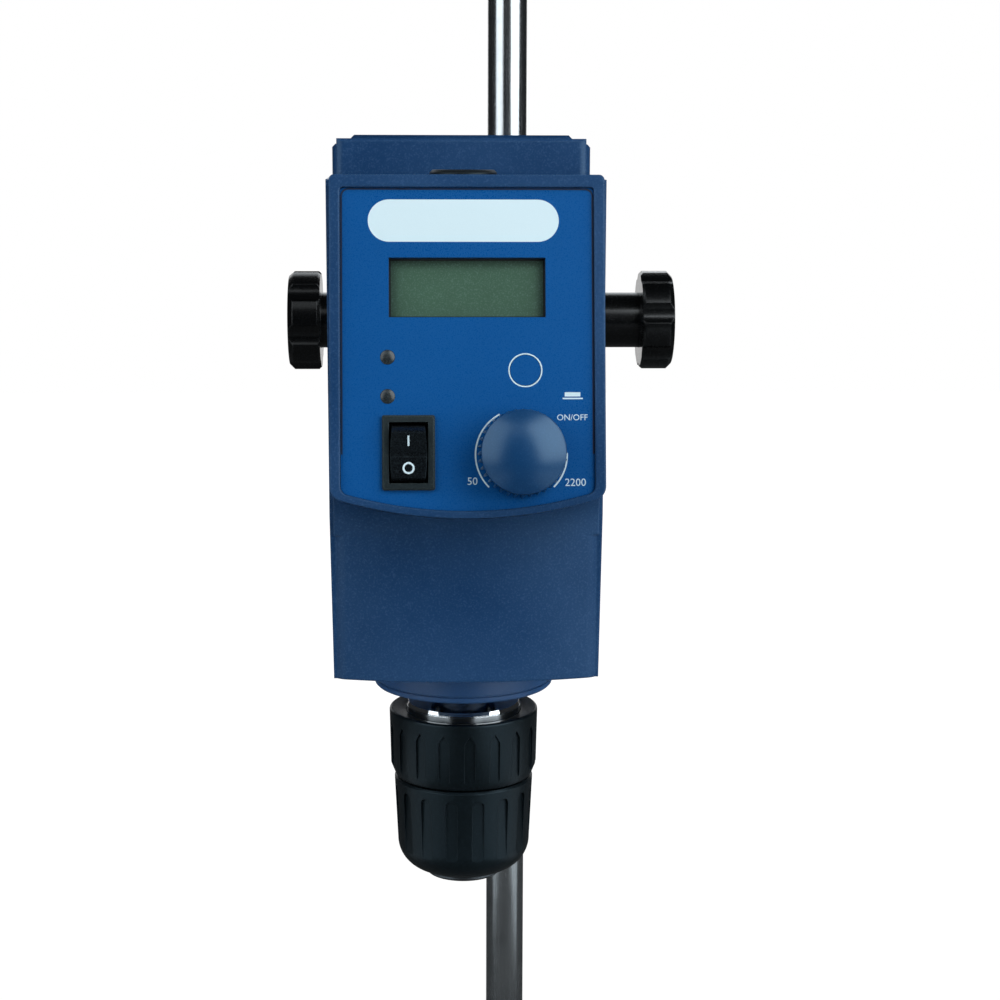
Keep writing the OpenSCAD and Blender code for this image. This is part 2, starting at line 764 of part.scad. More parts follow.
module switch_body() {
    color([0.16, 0.2, 0.2]) at_switch() difference() {
        union() {
            translate([0, 0, overlay_top]) linear_extrude(rim_t - 0.4) rounded_rect(switch_w, switch_h, 0.6);
            translate([0, 0, rim_top - 0.4 - eps]) linear_extrude(0.4 + eps)
                rounded_rect(switch_w - 0.8, switch_h - 0.8, 0.5);
            translate([0, 0, overlay_top - switch_depth]) linear_extrude(switch_depth + eps)
                square([switch_w - 1.9, switch_h - 1.9], center = true);
            for (y = [-6, 0, 6]) translate([-2.4, y - 0.4, overlay_top - switch_depth - 6]) cube([4.8, 0.8, 6 + eps]);
        }
        translate([0, 0, pivot_z - 6.5]) linear_extrude(12) square([rocker_w + 0.7, rocker_l + 1.3], center = true);
    }
}

// Rocker in its OFF position: the lower end is pressed in.
module switch_rocker() {
    dish = rocker_swing / 2;
    ridge_h = 4.4;
    color([0.08, 0.09, 0.1]) at_switch() translate([0, 0, pivot_z]) rotate([dish, 0, 0]) intersection() {
        rotate([90, 0, 90]) translate([0, 0, -rocker_w / 2]) linear_extrude(rocker_w) intersection() {
            difference() {
                translate([-rocker_l / 2, -2.5]) square([rocker_l, 12]);
                both_sides() translate([0, ridge_h]) rotate(dish) translate([-0.5, 0]) square([rocker_l, 12]);
                both_sides() translate([0, -2.5]) rotate(-35) translate([2, -12]) square([rocker_l, 12]);
            }
            circle(r = rocker_l / 2 + 0.5);
        }
        linear_extrude(30, center = true) intersection_for(s = [-1, 1])
            translate([s * (60 - rocker_w / 2), 0]) circle(r = 60, $fn = smooth_fn);
    }
}

// ---------- speed encoder and knob ----------

encoder_w = 12.5;
encoder_depth = 7.6;
shaft_r = 3;
rotor_out_r = 4.8;
encoder_shaft_low = panel_back - 5;
bushing_top = overlay_top + 3.6;

module at_knob() {
    on_panel() translate([knob_x, knob_y, 0]) children();
}

module encoder_body() {
    color([0.35, 0.36, 0.36]) at_knob() difference() {
        union() {
            translate([0, 0, panel_back - encoder_depth]) linear_extrude(encoder_depth)
                square(encoder_w, center = true);
            cylinder_from(3.5, panel_back - eps, bushing_top);
            for (x = [-4, 0, 4]) translate([x - 0.4, -0.4, panel_back - encoder_depth - 3]) cube([0.8, 0.8, 3 + eps]);
        }
        cylinder_from(rotor_out_r + running, panel_back - encoder_depth + 1, panel_back - 1.4);
        cylinder_from(shaft_r + running, panel_back - 2, bushing_top + 1);
    }
}

module cylinder_from(r, z0, z1) {
    translate([0, 0, z0]) cylinder(r = r, h = z1 - z0);
}

module encoder_nut() {
    color("silver") at_knob() translate([0, 0, overlay_top]) difference() {
        cylinder(d = 11.5, h = 1.8, $fn = 6);
        translate([0, 0, -1]) cylinder(r = 3.5, h = 4);
    }
}

// Ring that the knob's shaft turns and slides in
module encoder_rotor() {
    color([0.9, 0.9, 0.85]) at_knob() translate([0, 0, panel_back - 5.6]) tube(rotor_out_r, shaft_r + running, 4.1);
}

module encoder_shaft() {
    color("silver") at_knob() cylinder_from(shaft_r, encoder_shaft_low, knob_lift + knob_h - 3);
}

knob_lift = overlay_top + push_travel + 0.2;

module speed_knob() {
    r0 = knob_d / 2;
    r1 = knob_top_d / 2;
    edge = 3;
    crown_r = 46;
    crown = crown_r - sqrt(pow(crown_r, 2) - pow(r1 - edge, 2));
    color([0.11, 0.27, 0.44]) at_knob() translate([0, 0, knob_lift]) difference() {
        union() {
            rotate_extrude() {
                polygon([[0, 0], [r0, 0], [r0 - 0.3, 4], [r1, knob_h - edge - crown], [0, knob_h - edge - crown]]);
                translate([r1 - edge, knob_h - edge - crown]) intersection() {
                    circle(r = edge);
                    square(edge);
                }
                square([r1 - edge + eps, knob_h - crown]);
                intersection() {
                    translate([0, knob_h - crown_r]) circle(r = crown_r, $fn = smooth_fn);
                    translate([0, knob_h - crown - eps]) square([r1 - edge, crown + 1]);
                }
            }
        }
        translate([0, 0, -1]) cylinder(r = 8.2, h = 5.4);
        translate([0, 0, -1]) cylinder(r = shaft_r, h = knob_h - 3 + 1);
        for (a = ring_angles(knob_flutes)) rotate(a) translate([r0 + 0.25, 0, -1]) cylinder(r = 0.8, h = 6.5, $fn = 24);
    }
}

// ---------- spindle and bearings ----------

// Turned flange below the housing, in one piece with the sleeve that holds both bearings
module bearing_flange() {
    r = flange_d / 2;
    groove_z = flange_z + 1.7;
    color([0.13, 0.26, 0.45]) difference() {
        rotate_extrude($fn = 120) difference() {
            polygon([
                [spindle_collar_r + 0.6, flange_z], [r - 0.5, flange_z], [r, flange_z + 0.5],
                [r, groove_z], [r - 0.5, groove_z + 0.1], [r - 0.5, groove_z + 0.5],
                [r - 0.1, groove_z + 0.6], [r - 0.8, body_bottom],
                [sleeve_r, body_bottom], [sleeve_r, sleeve_top_z],
                [bearing_d / 2, sleeve_top_z], [bearing_d / 2, lower_bearing_z],
                [spindle_collar_r + 0.6, lower_bearing_z]
            ]);
        }
        for (a = [45:90:315]) rotate(a) translate([sleeve_r + 3.4, 0, body_bottom - 7])
            cylinder(r = 1.6, h = 8);
        for (a = [0:90:270]) rotate(a) translate([bearing_d / 2 + 1.8, 0, sleeve_top_z - 8])
            cylinder(r = 1, h = 9);
    }
}

module flange_screws() {
    color("silver") for (a = [45:90:315]) rotate(a) translate([sleeve_r + 3.4, 0, body_bottom - 6]) {
        cylinder(r = 1.6, h = 6 + wall);
        translate([0, 0, 6 + wall]) cylinder(r = 2.8, h = 2.6);
    }
}

module ball_bearing(z) {
    r_in = spindle_r + running;
    r_out = bearing_d / 2;
    color("silver") translate([0, 0, z]) rotate_extrude() difference() {
        translate([r_in, 0]) square([r_out - r_in, bearing_w]);
        for (y = [-eps, bearing_w - 0.5 + eps])
            translate([r_in + bearing_race, y]) square([r_out - r_in - 2 * bearing_race, 0.5]);
    }
}

module lower_bearing() {
    ball_bearing(lower_bearing_z);
}

module upper_bearing() {
    ball_bearing(upper_bearing_z);
}

module bearing_spacer() {
    z0 = lower_bearing_z + bearing_w;
    color([0.7, 0.7, 0.7]) translate([0, 0, z0]) tube(bearing_d / 2, bearing_d / 2 - 2, upper_bearing_z - z0);
}

module spindle() {
    color("silver") difference() {
        union() {
            translate([0, 0, spindle_foot_z]) cylinder(r = spindle_r, h = spindle_top_z - spindle_foot_z);
            translate([0, 0, flange_z + 2]) cylinder(r = spindle_collar_r, h = lower_bearing_z - flange_z - 2);
        }
        translate([0, 0, spindle_foot_z - 1]) cylinder(d = through_d, h = spindle_top_z - spindle_foot_z + 2);
    }
}

circlip_z = upper_bearing_z + bearing_w + 0.1;

module spindle_circlip() {
    color([0.3, 0.3, 0.3]) translate([0, 0, circlip_z]) difference() {
        tube(spindle_r + 2, spindle_r, 1.2);
        translate([0, -1.5, -1]) cube([20, 3, 4]);
    }
}

// ---------- drive ----------

module drive_plate() {
    color([0.75, 0.76, 0.78]) translate([0, 0, plate_z]) linear_extrude(plate_t) difference() {
        union() {
            circle(r = sleeve_r + 3);
            translate([0, motor_y]) circle(r = motor_d / 2);
            translate([-sleeve_r + 2, 0]) square([2 * sleeve_r - 4, motor_y]);
        }
        circle(r = spindle_r + 3.5);
        translate([0, motor_y]) circle(r = motor_boss_r);
        for (a = [0:90:270]) rotate(a) translate([bearing_d / 2 + 1.8, 0]) circle(r = 1.2);
        for (a = [45:90:315]) translate([0, motor_y]) rotate(a) translate([motor_boss_r + 6, 0]) circle(r = 1.7);
    }
}

module plate_screws() {
    color("silver") {
        for (a = [0:90:270]) rotate(a) translate([bearing_d / 2 + 1.8, 0, plate_z - 7]) {
            cylinder(r = 1, h = 7 + plate_t);
            translate([0, 0, 7 + plate_t]) cylinder(r = 2.1, h = 1.6);
        }
        for (a = [45:90:315]) translate([0, motor_y, 0]) rotate(a) translate([motor_boss_r + 6, 0, plate_z - 3]) {
            cylinder(r = 1.5, h = 3 + plate_t);
            translate([0, 0, 3 + plate_t]) cylinder(r = 2.8, h = 2);
        }
    }
}

module motor_can() {
    r = motor_d / 2;
    color([0.2, 0.2, 0.22]) translate([0, motor_y, motor_z]) difference() {
        union() {
            cylinder(r = r, h = motor_h);
            translate([0, 0, motor_h]) cylinder(r = motor_boss_r, h = plate_t);
        }
        translate([0, 0, motor_cap]) cylinder(r = r - motor_wall, h = motor_h - 2 * motor_cap);
        translate([0, 0, 1.5]) cylinder(r = motor_shaft_r + running, h = motor_h + plate_t);
        for (a = [45:90:315]) rotate(a) translate([motor_boss_r + 6, 0, motor_h - 3.5]) cylinder(r = 1.5, h = 5);
    }
}

module motor_stator() {
    color([0.6, 0.4, 0.2]) translate([0, motor_y, stator_z]) linear_extrude(stator_h) difference() {
        circle(r = motor_d / 2 - motor_wall);
        circle(r = rotor_r + 0.4);
        for (a = ring_angles(stator_slots)) rotate(a) translate([rotor_r + 2, -1.2]) square([6, 2.4]);
    }
}

module motor_rotor() {
    color([0.5, 0.5, 0.52]) translate([0, motor_y, 0]) {
        translate([0, 0, stator_z - 1]) cylinder(r = rotor_r, h = stator_h + 2);
        translate([0, 0, motor_z + 2.5]) cylinder(r = motor_shaft_r, h = pulley_z + pulley_h - motor_z - 2.5);
    }
}

// Rim profile of a ribbed pulley: r is the radius at the crests
module ribbed_rim(r) {
    difference() {
        square([r, pulley_h]);
        for (i = [0:belt_ribs - 1]) translate([r, (i + 1.5) * rib_pitch])
            polygon([[0.1, -rib_pitch / 2 + 0.2], [0.1, rib_pitch / 2 - 0.2], [-rib_depth - 0.3, 0.3], [-rib_depth - 0.3, -0.3]]);
    }
}

module motor_pulley() {
    color("silver") translate([0, motor_y, pulley_z]) rotate_extrude() difference() {
        ribbed_rim(motor_pulley_r);
        translate([-1, -1]) square([motor_shaft_r + 1, pulley_h + 2]);
    }
}

module spindle_pulley() {
    color("silver") translate([0, 0, pulley_z]) rotate_extrude() difference() {
        union() {
            ribbed_rim(spindle_pulley_r);
            translate([0, -2]) square([pulley_hub_r, pulley_h + 2]);
        }
        translate([-1, -3]) square([spindle_r + 1, pulley_h + 6]);
        translate([pulley_hub_r, -1]) square([spindle_pulley_r - 4.5 - pulley_hub_r, (pulley_h - 3) / 2 + 1]);
        translate([pulley_hub_r, (pulley_h + 3) / 2]) square([spindle_pulley_r - 4.5 - pulley_hub_r, pulley_h]);
    }
}

// Loop around both pulleys, at a distance from their crests
module belt_loop(gap) {
    r1 = spindle_pulley_r + gap;
    r2 = motor_pulley_r + gap;
    dir = [cos(belt_lean), sin(belt_lean)];
    low = (r1 - belt_sink) * dir;
    high = [0, motor_y] + (r2 - belt_sink) * dir;
    circle(r = r1);
    translate([0, motor_y]) circle(r = r2);
    polygon([low, high, [-high[0], high[1]], [-low[0], low[1]]]);
}

module drive_belt() {
    color([0.1, 0.1, 0.1]) translate([0, 0, pulley_z]) {
        translate([0, 0, rib_pitch]) linear_extrude(belt_ribs * rib_pitch) difference() {
            belt_loop(free_gap + belt_back);
            belt_loop(free_gap);
        }
        for (i = [0:belt_ribs - 1]) translate([0, 0, (i + 1.5) * rib_pitch - belt_rib_w / 2])
            linear_extrude(belt_rib_w) difference() {
                belt_loop(free_gap + belt_back / 2);
                belt_loop(-belt_rib_depth);
            }
    }
}

// ---------- electrics in the rear housing ----------

power_z = platform_z - 32;
power_w = 66;
power_l = 78;

module power_board() {
    color([0.1, 0.35, 0.2]) translate([0, seam_y + 8, power_z]) {
        translate([-rear_half_w + 5, 0, 0]) cube([2 * rear_half_w - 10, power_l, 1.6]);
        translate([-30, 8, 1.6 - eps]) cube([22, 26, 18]);
        for (i = [0:2]) translate([2 + i * 12, 14, 1.6 - eps]) cylinder(r = 5, h = 17);
        translate([-4, 36, 1.6 - eps]) cube([32, 4, 20]);
        for (i = [0:5]) translate([-2 + i * 5, 40 - eps, 1.6 - eps]) cube([1.4, 12, 20]);
        translate([-28, 44, 1.6 - eps]) cube([18, 20, 11]);
    }
}

// Appliance inlet with three blades in a shroud, let into the rear face
module mains_inlet() {
    cavity_w = 24;
    cavity_h = 15.6;
    cavity_l = 17;
    color([0.1, 0.1, 0.11]) translate([inlet_x, rear_y, inlet_z]) {
        difference() {
            union() {
                translate([0, 1.5, 0]) cube([inlet_w + 3.6, 3, inlet_h + 4.6], center = true);
                translate([0, -10, 0]) cube([inlet_w - 0.2, 20 + eps, inlet_h - 0.2], center = true);
            }
            translate([0, 4 - cavity_l / 2, 0]) cube([cavity_w, cavity_l, cavity_h], center = true);
        }
        for (p = [[-7, -1.6], [0, 2.2], [7, -1.6]])
            translate([p[0] - 1, -14, p[1] - 2]) cube([2, 11.5, 4]);
        for (x = [-7, 0, 7]) translate([x - 2.4, -25, -0.4]) cube([4.8, 5 + eps, 0.8]);
    }
}

// Rubber plug that closes the through bore at the top
module top_cap() {
    r = 10.3;
    h = 2.2;
    color([0.08, 0.08, 0.09]) translate([0, 0, platform_z]) rotate_extrude() {
        polygon([[0, 0], [r, 0], [r, h - 0.8], [r - 0.8, h], [r - 2.2, h], [r - 2.8, h - 0.6], [0, h - 0.6]]);
        translate([0, -wall]) square([7.3, wall + eps]);
    }
}

// ---------- keyless chuck ----------

// Inclined jaw bore or jaw blank in the plane of the X axis
module jaw_rod(r, z0, z1) {
    translate([jaw_foot_r, 0, 0]) rotate([0, jaw_slope, 0]) translate([0, 0, z0]) cylinder(r = r, h = z1 - z0);
}

module at_jaw(i) {
    rotate([0, 0, jaw_phase + i * 120]) children();
}

module jaw(i) {
    reach = 30;
    color([0.6, 0.61, 0.62]) at_jaw(i) difference() {
        intersection() {
            jaw_rod(jaw_r, -12, jaw_length);
            linear_extrude(60) polygon([
                [jaw_wedge_r, 0], [jaw_wedge_r + reach, reach * tan(60)], [jaw_wedge_r + reach, -reach * tan(60)]
            ]);
        }
        translate([0, 0, -1]) cylinder(d = chuck_max_d, h = 60);
    }
}

module jaw_1() {
    jaw(0);
}

module jaw_2() {
    jaw(1);
}

module jaw_3() {
    jaw(2);
}

module chuck_body() {
    top_z = nut_z + nut_h;
    color([0.45, 0.46, 0.47]) difference() {
        rotate_extrude() polygon([
            [chuck_bore_r, 0], [nose_r - 0.6, 0], [nose_r, 0.6], [nose_r, nut_z - 2],
            [jaw_outer_r(nut_z) - 0.6, nut_z], [jaw_outer_r(top_z) - 0.6, top_z],
            [jaw_outer_r(top_z) - 0.6, collar_z], [collar_r, collar_z], [collar_r, chuck_core_top],
            [spindle_r, chuck_core_top], [spindle_r, spindle_foot_z], [chuck_bore_r, spindle_foot_z]
        ]);
        for (i = [0:2]) at_jaw(i) jaw_rod(jaw_r + slide_gap, -8, jaw_length + 0.6);
    }
}

// Polished dish that closes the chuck's top inside the upper sleeve
module chuck_dish() {
    rim = 1.1;
    floor_z = chuck_core_top;
    color([0.85, 0.86, 0.87]) rotate_extrude() polygon([
        [spindle_r, floor_z], [dish_r, floor_z], [dish_r, chuck_top + 0.3], [dish_r - rim, chuck_top + 0.3],
        [dish_r - rim - 1.2, floor_z + 1.4], [spindle_r + 3.2, floor_z + 0.8],
        [spindle_r + 2.6, floor_z + 2.2], [spindle_r, floor_z + 2.2]
    ]);
}

// Fixed grip sleeve, with narrow grooves that end in points below the rim
module upper_sleeve() {
    chamfer = 3.5;
    round_r = 3;
    taper = 0.4;
    depth = 0.9;
    groove_z = chuck_top - 7;
    color([0.12, 0.15, 0.17]) difference() {
        rotate_extrude() difference() {
            union() {
                polygon([
                    [dish_r, upper_z], [upper_r - 1.8, upper_z], [upper_r - taper, upper_z + chamfer],
                    [upper_r, chuck_top - round_r], [dish_r, chuck_top - round_r]
                ]);
                translate([dish_r, chuck_top - round_r - eps])
                    square([upper_r - round_r - dish_r, round_r + eps]);
                translate([upper_r - round_r, chuck_top - round_r]) intersection() {
                    circle(r = round_r);
                    square(round_r);
                }
            }
            translate([dish_r - 1, upper_z - 1]) square([collar_r - dish_r + 1, chuck_core_top - upper_z + 1]);
            translate([dish_r - 1, chuck_core_top - 1]) square([1.05, 10]);
        }
        for (a = ring_angles(upper_grooves)) rotate(a + 180 / upper_grooves)
            translate([upper_r - depth, 0, 0]) rotate([90, 0, 90]) linear_extrude(4) polygon([
                [-upper_groove_w / 2, upper_z - 1], [upper_groove_w / 2, upper_z - 1],
                [upper_groove_w / 2, groove_z - upper_groove_w * 0.8], [0, groove_z],
                [-upper_groove_w / 2, groove_z - upper_groove_w * 0.8]
            ]);
    }
}

// Turning sleeve with a domed foot and round-ended flutes
module lower_sleeve() {
    top_z = sleeve_joint_z - 0.4;
    mid_z = sleeve_low_z + sleeve_dome_r;
    bore_r = nose_r + free_gap;
    cavity_r = nose_r + 1.8;
    depth = 1;
    color([0.12, 0.15, 0.17]) difference() {
        rotate_extrude() difference() {
            union() {
                polygon([
                    [bore_r, mid_z - eps], [sleeve_side_r, mid_z - eps],
                    [lower_r, top_z - 0.6], [lower_r - 0.6, top_z], [bore_r, top_z]
                ]);
                translate([bore_r, sleeve_low_z]) square([sleeve_side_r - sleeve_dome_r - bore_r + 2, sleeve_dome_r]);
                intersection() {
                    translate([sleeve_side_r - sleeve_dome_r, mid_z]) circle(r = sleeve_dome_r);
                    translate([bore_r, sleeve_low_z - 1]) square([20, sleeve_dome_r + 1]);
                }
            }
            translate([bore_r - 1, sleeve_low_z + 3]) square([cavity_r - bore_r + 1, 40]);
            translate([bore_r - 1, nut_z]) square([nut_r - bore_r + 1, 40]);
        }
        for (a = ring_angles(lower_flutes)) rotate(a + 180 / lower_flutes)
            translate([lower_r - depth - 0.2, 0, 0]) rotate([90, 0, 90]) linear_extrude(4) {
                translate([-lower_flute_w / 2, 11]) square([lower_flute_w, top_z - 16]);
                for (z = [11, top_z - 5]) translate([0, z]) circle(d = lower_flute_w, $fn = 32);
            }
    }
}

// Threaded ring, pressed into the lower sleeve, that drives the jaws
module jaw_nut() {
    gap = 0.35;
    color([0.7, 0.6, 0.35]) rotate_extrude() polygon([
        [jaw_outer_r(nut_z) + gap, nut_z], [nut_r, nut_z], [nut_r, nut_z + nut_h],
        [jaw_outer_r(nut_z + nut_h) + gap, nut_z + nut_h]
    ]);
}

// ---------- nodes ----------

stand_rod();
clamp_body();
left_clamp_knob();
left_clamp_screw();
right_clamp_knob();
right_clamp_screw();
support_arm();
arm_nut();
front_housing();
rear_housing();
housing_screws();
panel_overlay();
display_glass();
display_module();
control_board();
board_screws();
indicator_lamps();
mode_key();
switch_body();
switch_rocker();
encoder_body();
encoder_nut();
encoder_rotor();
encoder_shaft();
speed_knob();
bearing_flange();
flange_screws();
lower_bearing();
upper_bearing();
bearing_spacer();
drive_plate();
plate_screws();
motor_can();
motor_stator();
motor_rotor();
motor_pulley();
drive_belt();
spindle_pulley();
spindle();
spindle_circlip();
power_board();
mains_inlet();
top_cap();
chuck_body();
chuck_dish();
upper_sleeve();
lower_sleeve();
jaw_nut();
jaw_1();
jaw_2();
jaw_3();
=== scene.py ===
"""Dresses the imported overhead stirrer: camera, studio, finishes and the fine pieces on its body."""

import logging
import math
from dataclasses import dataclass, field
from enum import Enum
from typing import Any, Optional, Sequence

import bmesh
import bpy
from mathutils import Matrix, Vector


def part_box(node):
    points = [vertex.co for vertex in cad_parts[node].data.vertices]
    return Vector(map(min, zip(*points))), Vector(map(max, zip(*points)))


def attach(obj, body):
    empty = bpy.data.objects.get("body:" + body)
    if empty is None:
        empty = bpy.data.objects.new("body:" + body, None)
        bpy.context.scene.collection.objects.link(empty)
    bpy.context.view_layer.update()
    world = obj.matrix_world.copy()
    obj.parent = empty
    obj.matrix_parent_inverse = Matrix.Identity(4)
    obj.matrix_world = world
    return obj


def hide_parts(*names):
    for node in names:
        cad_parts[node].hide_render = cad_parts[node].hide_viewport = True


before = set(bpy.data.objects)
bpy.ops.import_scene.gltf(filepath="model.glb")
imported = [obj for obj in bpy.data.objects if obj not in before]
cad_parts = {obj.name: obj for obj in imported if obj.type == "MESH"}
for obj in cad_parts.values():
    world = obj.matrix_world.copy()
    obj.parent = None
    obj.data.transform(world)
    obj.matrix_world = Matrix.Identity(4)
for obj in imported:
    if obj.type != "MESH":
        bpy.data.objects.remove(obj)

log = logging.getLogger("stirrer")

Point2 = tuple[float, float]
Point3 = tuple[float, float, float]
Face = tuple[int, ...]
Material = bpy.types.Material
Mesh = bpy.types.Mesh
Piece = bpy.types.Object
Socket = bpy.types.NodeSocket

MM = 1000.0  # millimetres in a metre
SMOOTH = 35.0  # edges flatter than this many degrees are shaded smooth
ORIGIN: Point3 = (0.0, 0.0, 0.0)
WHITE = (1.0, 1.0, 1.0, 1.0)
BLACK = (0.0, 0.0, 0.0, 1.0)


# ---------- small tools ----------


def linear(colour: str) -> tuple[float, float, float, float]:
    """Turn an sRGB hex colour into linear RGBA.

    Args:
        colour: six hex digits with a leading #.

    Returns:
        Red, green, blue and alpha, in linear light.
    """
    out = []
    for start in (1, 3, 5):
        value = int(colour[start:start + 2], 16) / 255
        out.append(value / 12.92 if value <= 0.04045 else ((value + 0.055) / 1.055) ** 2.4)
    return (out[0], out[1], out[2], 1.0)


def placed(name: str, data: Any) -> Piece:
    """Make an object of some data, at the origin and unturned."""
    piece = bpy.data.objects.new(name, data)
    bpy.context.scene.collection.objects.link(piece)
    return piece


def discard(piece: Piece) -> None:
    """Remove an object and its mesh."""
    mesh = piece.data
    bpy.data.objects.remove(piece)
    bpy.data.meshes.remove(mesh)


def evaluated(piece: Piece) -> Mesh:
    """Return a plain mesh of an object as its modifiers leave it."""
    ready = piece.evaluated_get(bpy.context.evaluated_depsgraph_get())
    return bpy.data.meshes.new_from_object(ready)


def soften(mesh: Mesh, angle: float = SMOOTH) -> None:
    """Shade a mesh smooth over edges that are flatter than an angle in degrees."""
    mesh.shade_smooth()
    mesh.set_sharp_from_angle(angle=math.radians(angle))


def tidy_mesh(mesh: Mesh) -> None:
    """Merge doubled points and turn every face outwards."""
    work = bmesh.new()
    work.from_mesh(mesh)
    bmesh.ops.remove_doubles(work, verts=work.verts, dist=1e-7)
    bmesh.ops.recalc_face_normals(work, faces=work.faces)
    work.to_mesh(mesh)
    work.free()


def mesh_object(name: str, vertices: Sequence[Point3], faces: Sequence[Face],
                smooth_angle: Optional[float] = None) -> Piece:
    """Make an object from points in millimetres, with its faces turned outwards.

    Args:
        name: the object's name.
        vertices: points in the part's frame.
        faces: indices of each face's corners.
        smooth_angle: edges flatter than this, in degrees, are shaded smooth.

    Returns:
        The object.
    """
    mesh = bpy.data.meshes.new(name)
    mesh.from_pydata([[c / MM for c in v] for v in vertices], [], [list(f) for f in faces])
    mesh.update()
    tidy_mesh(mesh)
    if smooth_angle is not None:
        soften(mesh, smooth_angle)
    return placed(name, mesh)


def prism_faces(n: int) -> list[Face]:
    """Return the faces of a prism with n lower corners, followed by n upper ones."""
    sides = [(i, (i + 1) % n, n + (i + 1) % n, n + i) for i in range(n)]
    return [tuple(reversed(range(n))), tuple(range(n, 2 * n)), *sides]


def bar_faces(rings: int, closed: bool) -> list[Face]:
    """Return the faces of a bar of four strands, whose corners come ring by ring.

    Args:
        rings: how many rings of four corners there are.
        closed: whether the last ring meets the first; if not, both ends get a face.

    Returns:
        The faces.
    """
    faces: list[Face] = []
    for i in range(rings if closed else rings - 1):
        a, b = 4 * i, 4 * ((i + 1) % rings)
        faces += [(a, b, b + 1, a + 1), (a + 1, b + 1, b + 3, a + 3),
                  (a + 3, b + 3, b + 2, a + 2), (a + 2, b + 2, b, a)]
    if not closed:
        last = 4 * (rings - 1)
        faces += [(0, 1, 3, 2), (last, last + 2, last + 3, last + 1)]
    return faces


def turned(name: str, profile: Sequence[Point2], steps: int, smooth: float = SMOOTH) -> Piece:
    """Turn a profile round Z into a closed mesh.

    Args:
        name: the object's name.
        profile: radius and height of each corner; a radius of 0 becomes a pole.
        steps: facets round the axis.
        smooth: edges flatter than this angle are shaded smooth.

    Returns:
        The turned object.
    """
    points: list[Point3] = []
    rings: list[list[int]] = []
    for r, z in profile:
        if r < 1e-6:
            rings.append([len(points)] * steps)
            points.append((0.0, 0.0, z))
            continue
        rings.append(list(range(len(points), len(points) + steps)))
        for i in range(steps):
            a = 2 * math.pi * i / steps
            points.append((r * math.cos(a), r * math.sin(a), z))
    faces: list[Face] = []
    for low, high in zip(rings, rings[1:]):
        for i in range(steps):
            j = (i + 1) % steps
            face = tuple(dict.fromkeys((low[i], low[j], high[j], high[i])))
            if len(face) > 2:
                faces.append(face)
    return mesh_object(name, points, faces, smooth)


def joined(name: str, parts: Sequence[Piece]) -> Piece:
    """Join several objects at the origin into one mesh.

    Args:
        name: the joined object's name.
        parts: the objects, which are removed.

    Returns:
        The joined object.
    """
    work = bmesh.new()
    for part in parts:
        work.from_mesh(part.data)
    mesh = bpy.data.meshes.new(name)
    work.to_mesh(mesh)
    work.free()
    for part in parts:
        discard(part)
    return placed(name, mesh)


def cut_away(body: Piece, tool: Piece) -> None:
    """Cut a tool's volume out of a body.

    Args:
        body: the object that stays.
        tool: the object that is cut away and removed.
    """
    modifier = body.modifiers.new("cut", "BOOLEAN")
    modifier.operation = "DIFFERENCE"
    modifier.solver = "EXACT"
    modifier.object = tool
    mesh = evaluated(body)
    body.modifiers.remove(modifier)
    old, body.data = body.data, mesh
    bpy.data.meshes.remove(old)
    discard(tool)
    soften(mesh)


def wear_finish(piece: Piece, material: Material) -> None:
    """Give a piece one material in place of whatever it has."""
    if not piece.material_slots:
        piece.data.materials.append(material)
    for slot in piece.material_slots:
        slot.material = material
    log.info("%s: %s", piece.name, material.name)


# ---------- node trees ----------


class Nodes:
    """A node tree, with short ways to add the nodes that come up most."""

    def __init__(self, tree: bpy.types.NodeTree) -> None:
        """Empty the tree."""
        self.tree = tree
        tree.nodes.clear()

    def add(self, kind: str, inputs: Optional[dict[Any, Any]] = None, **settings: Any) -> Any:
        """Add one node with its settings and links.

        Args:
            kind: Blender's name for the node's type.
            inputs: a value, or a socket to link, for each input by its name or number.
            settings: the node's own properties.

        Returns:
            The node's outputs.
        """
        node = self.tree.nodes.new(kind)
        for key, value in settings.items():
            setattr(node, key, value)
        for key, value in (inputs or {}).items():
            if isinstance(value, Socket):
                self.tree.links.new(value, node.inputs[key])
            else:
                node.inputs[key].default_value = value
        return node.outputs

    def math(self, operation: str, *values: Any) -> Socket:
        """Combine values with one operation of the Math node."""
        return self.add("ShaderNodeMath", dict(enumerate(values)), operation=operation)[0]

    def split(self, vector: Socket) -> Any:
        """Return a vector's X, Y and Z."""
        return self.add("ShaderNodeSeparateXYZ", {"Vector": vector})

    def length(self, vector: Socket) -> Socket:
        """Return a vector's length."""
        return self.add("ShaderNodeVectorMath", {0: vector}, operation="LENGTH")["Value"]

    def ranged(self, value: Socket, source: Point2, target: Point2) -> Socket:
        """Map a value from one range to another, clamped."""
        return self.add("ShaderNodeMapRange",
                        {"Value": value, "From Min": source[0], "From Max": source[1],
                         "To Min": target[0], "To Max": target[1]})["Result"]

    def blended(self, share: Socket, first: Socket, second: Socket) -> Socket:
        """Mix two shaders."""
        return self.add("ShaderNodeMixShader", {0: share, 1: first, 2: second})[0]


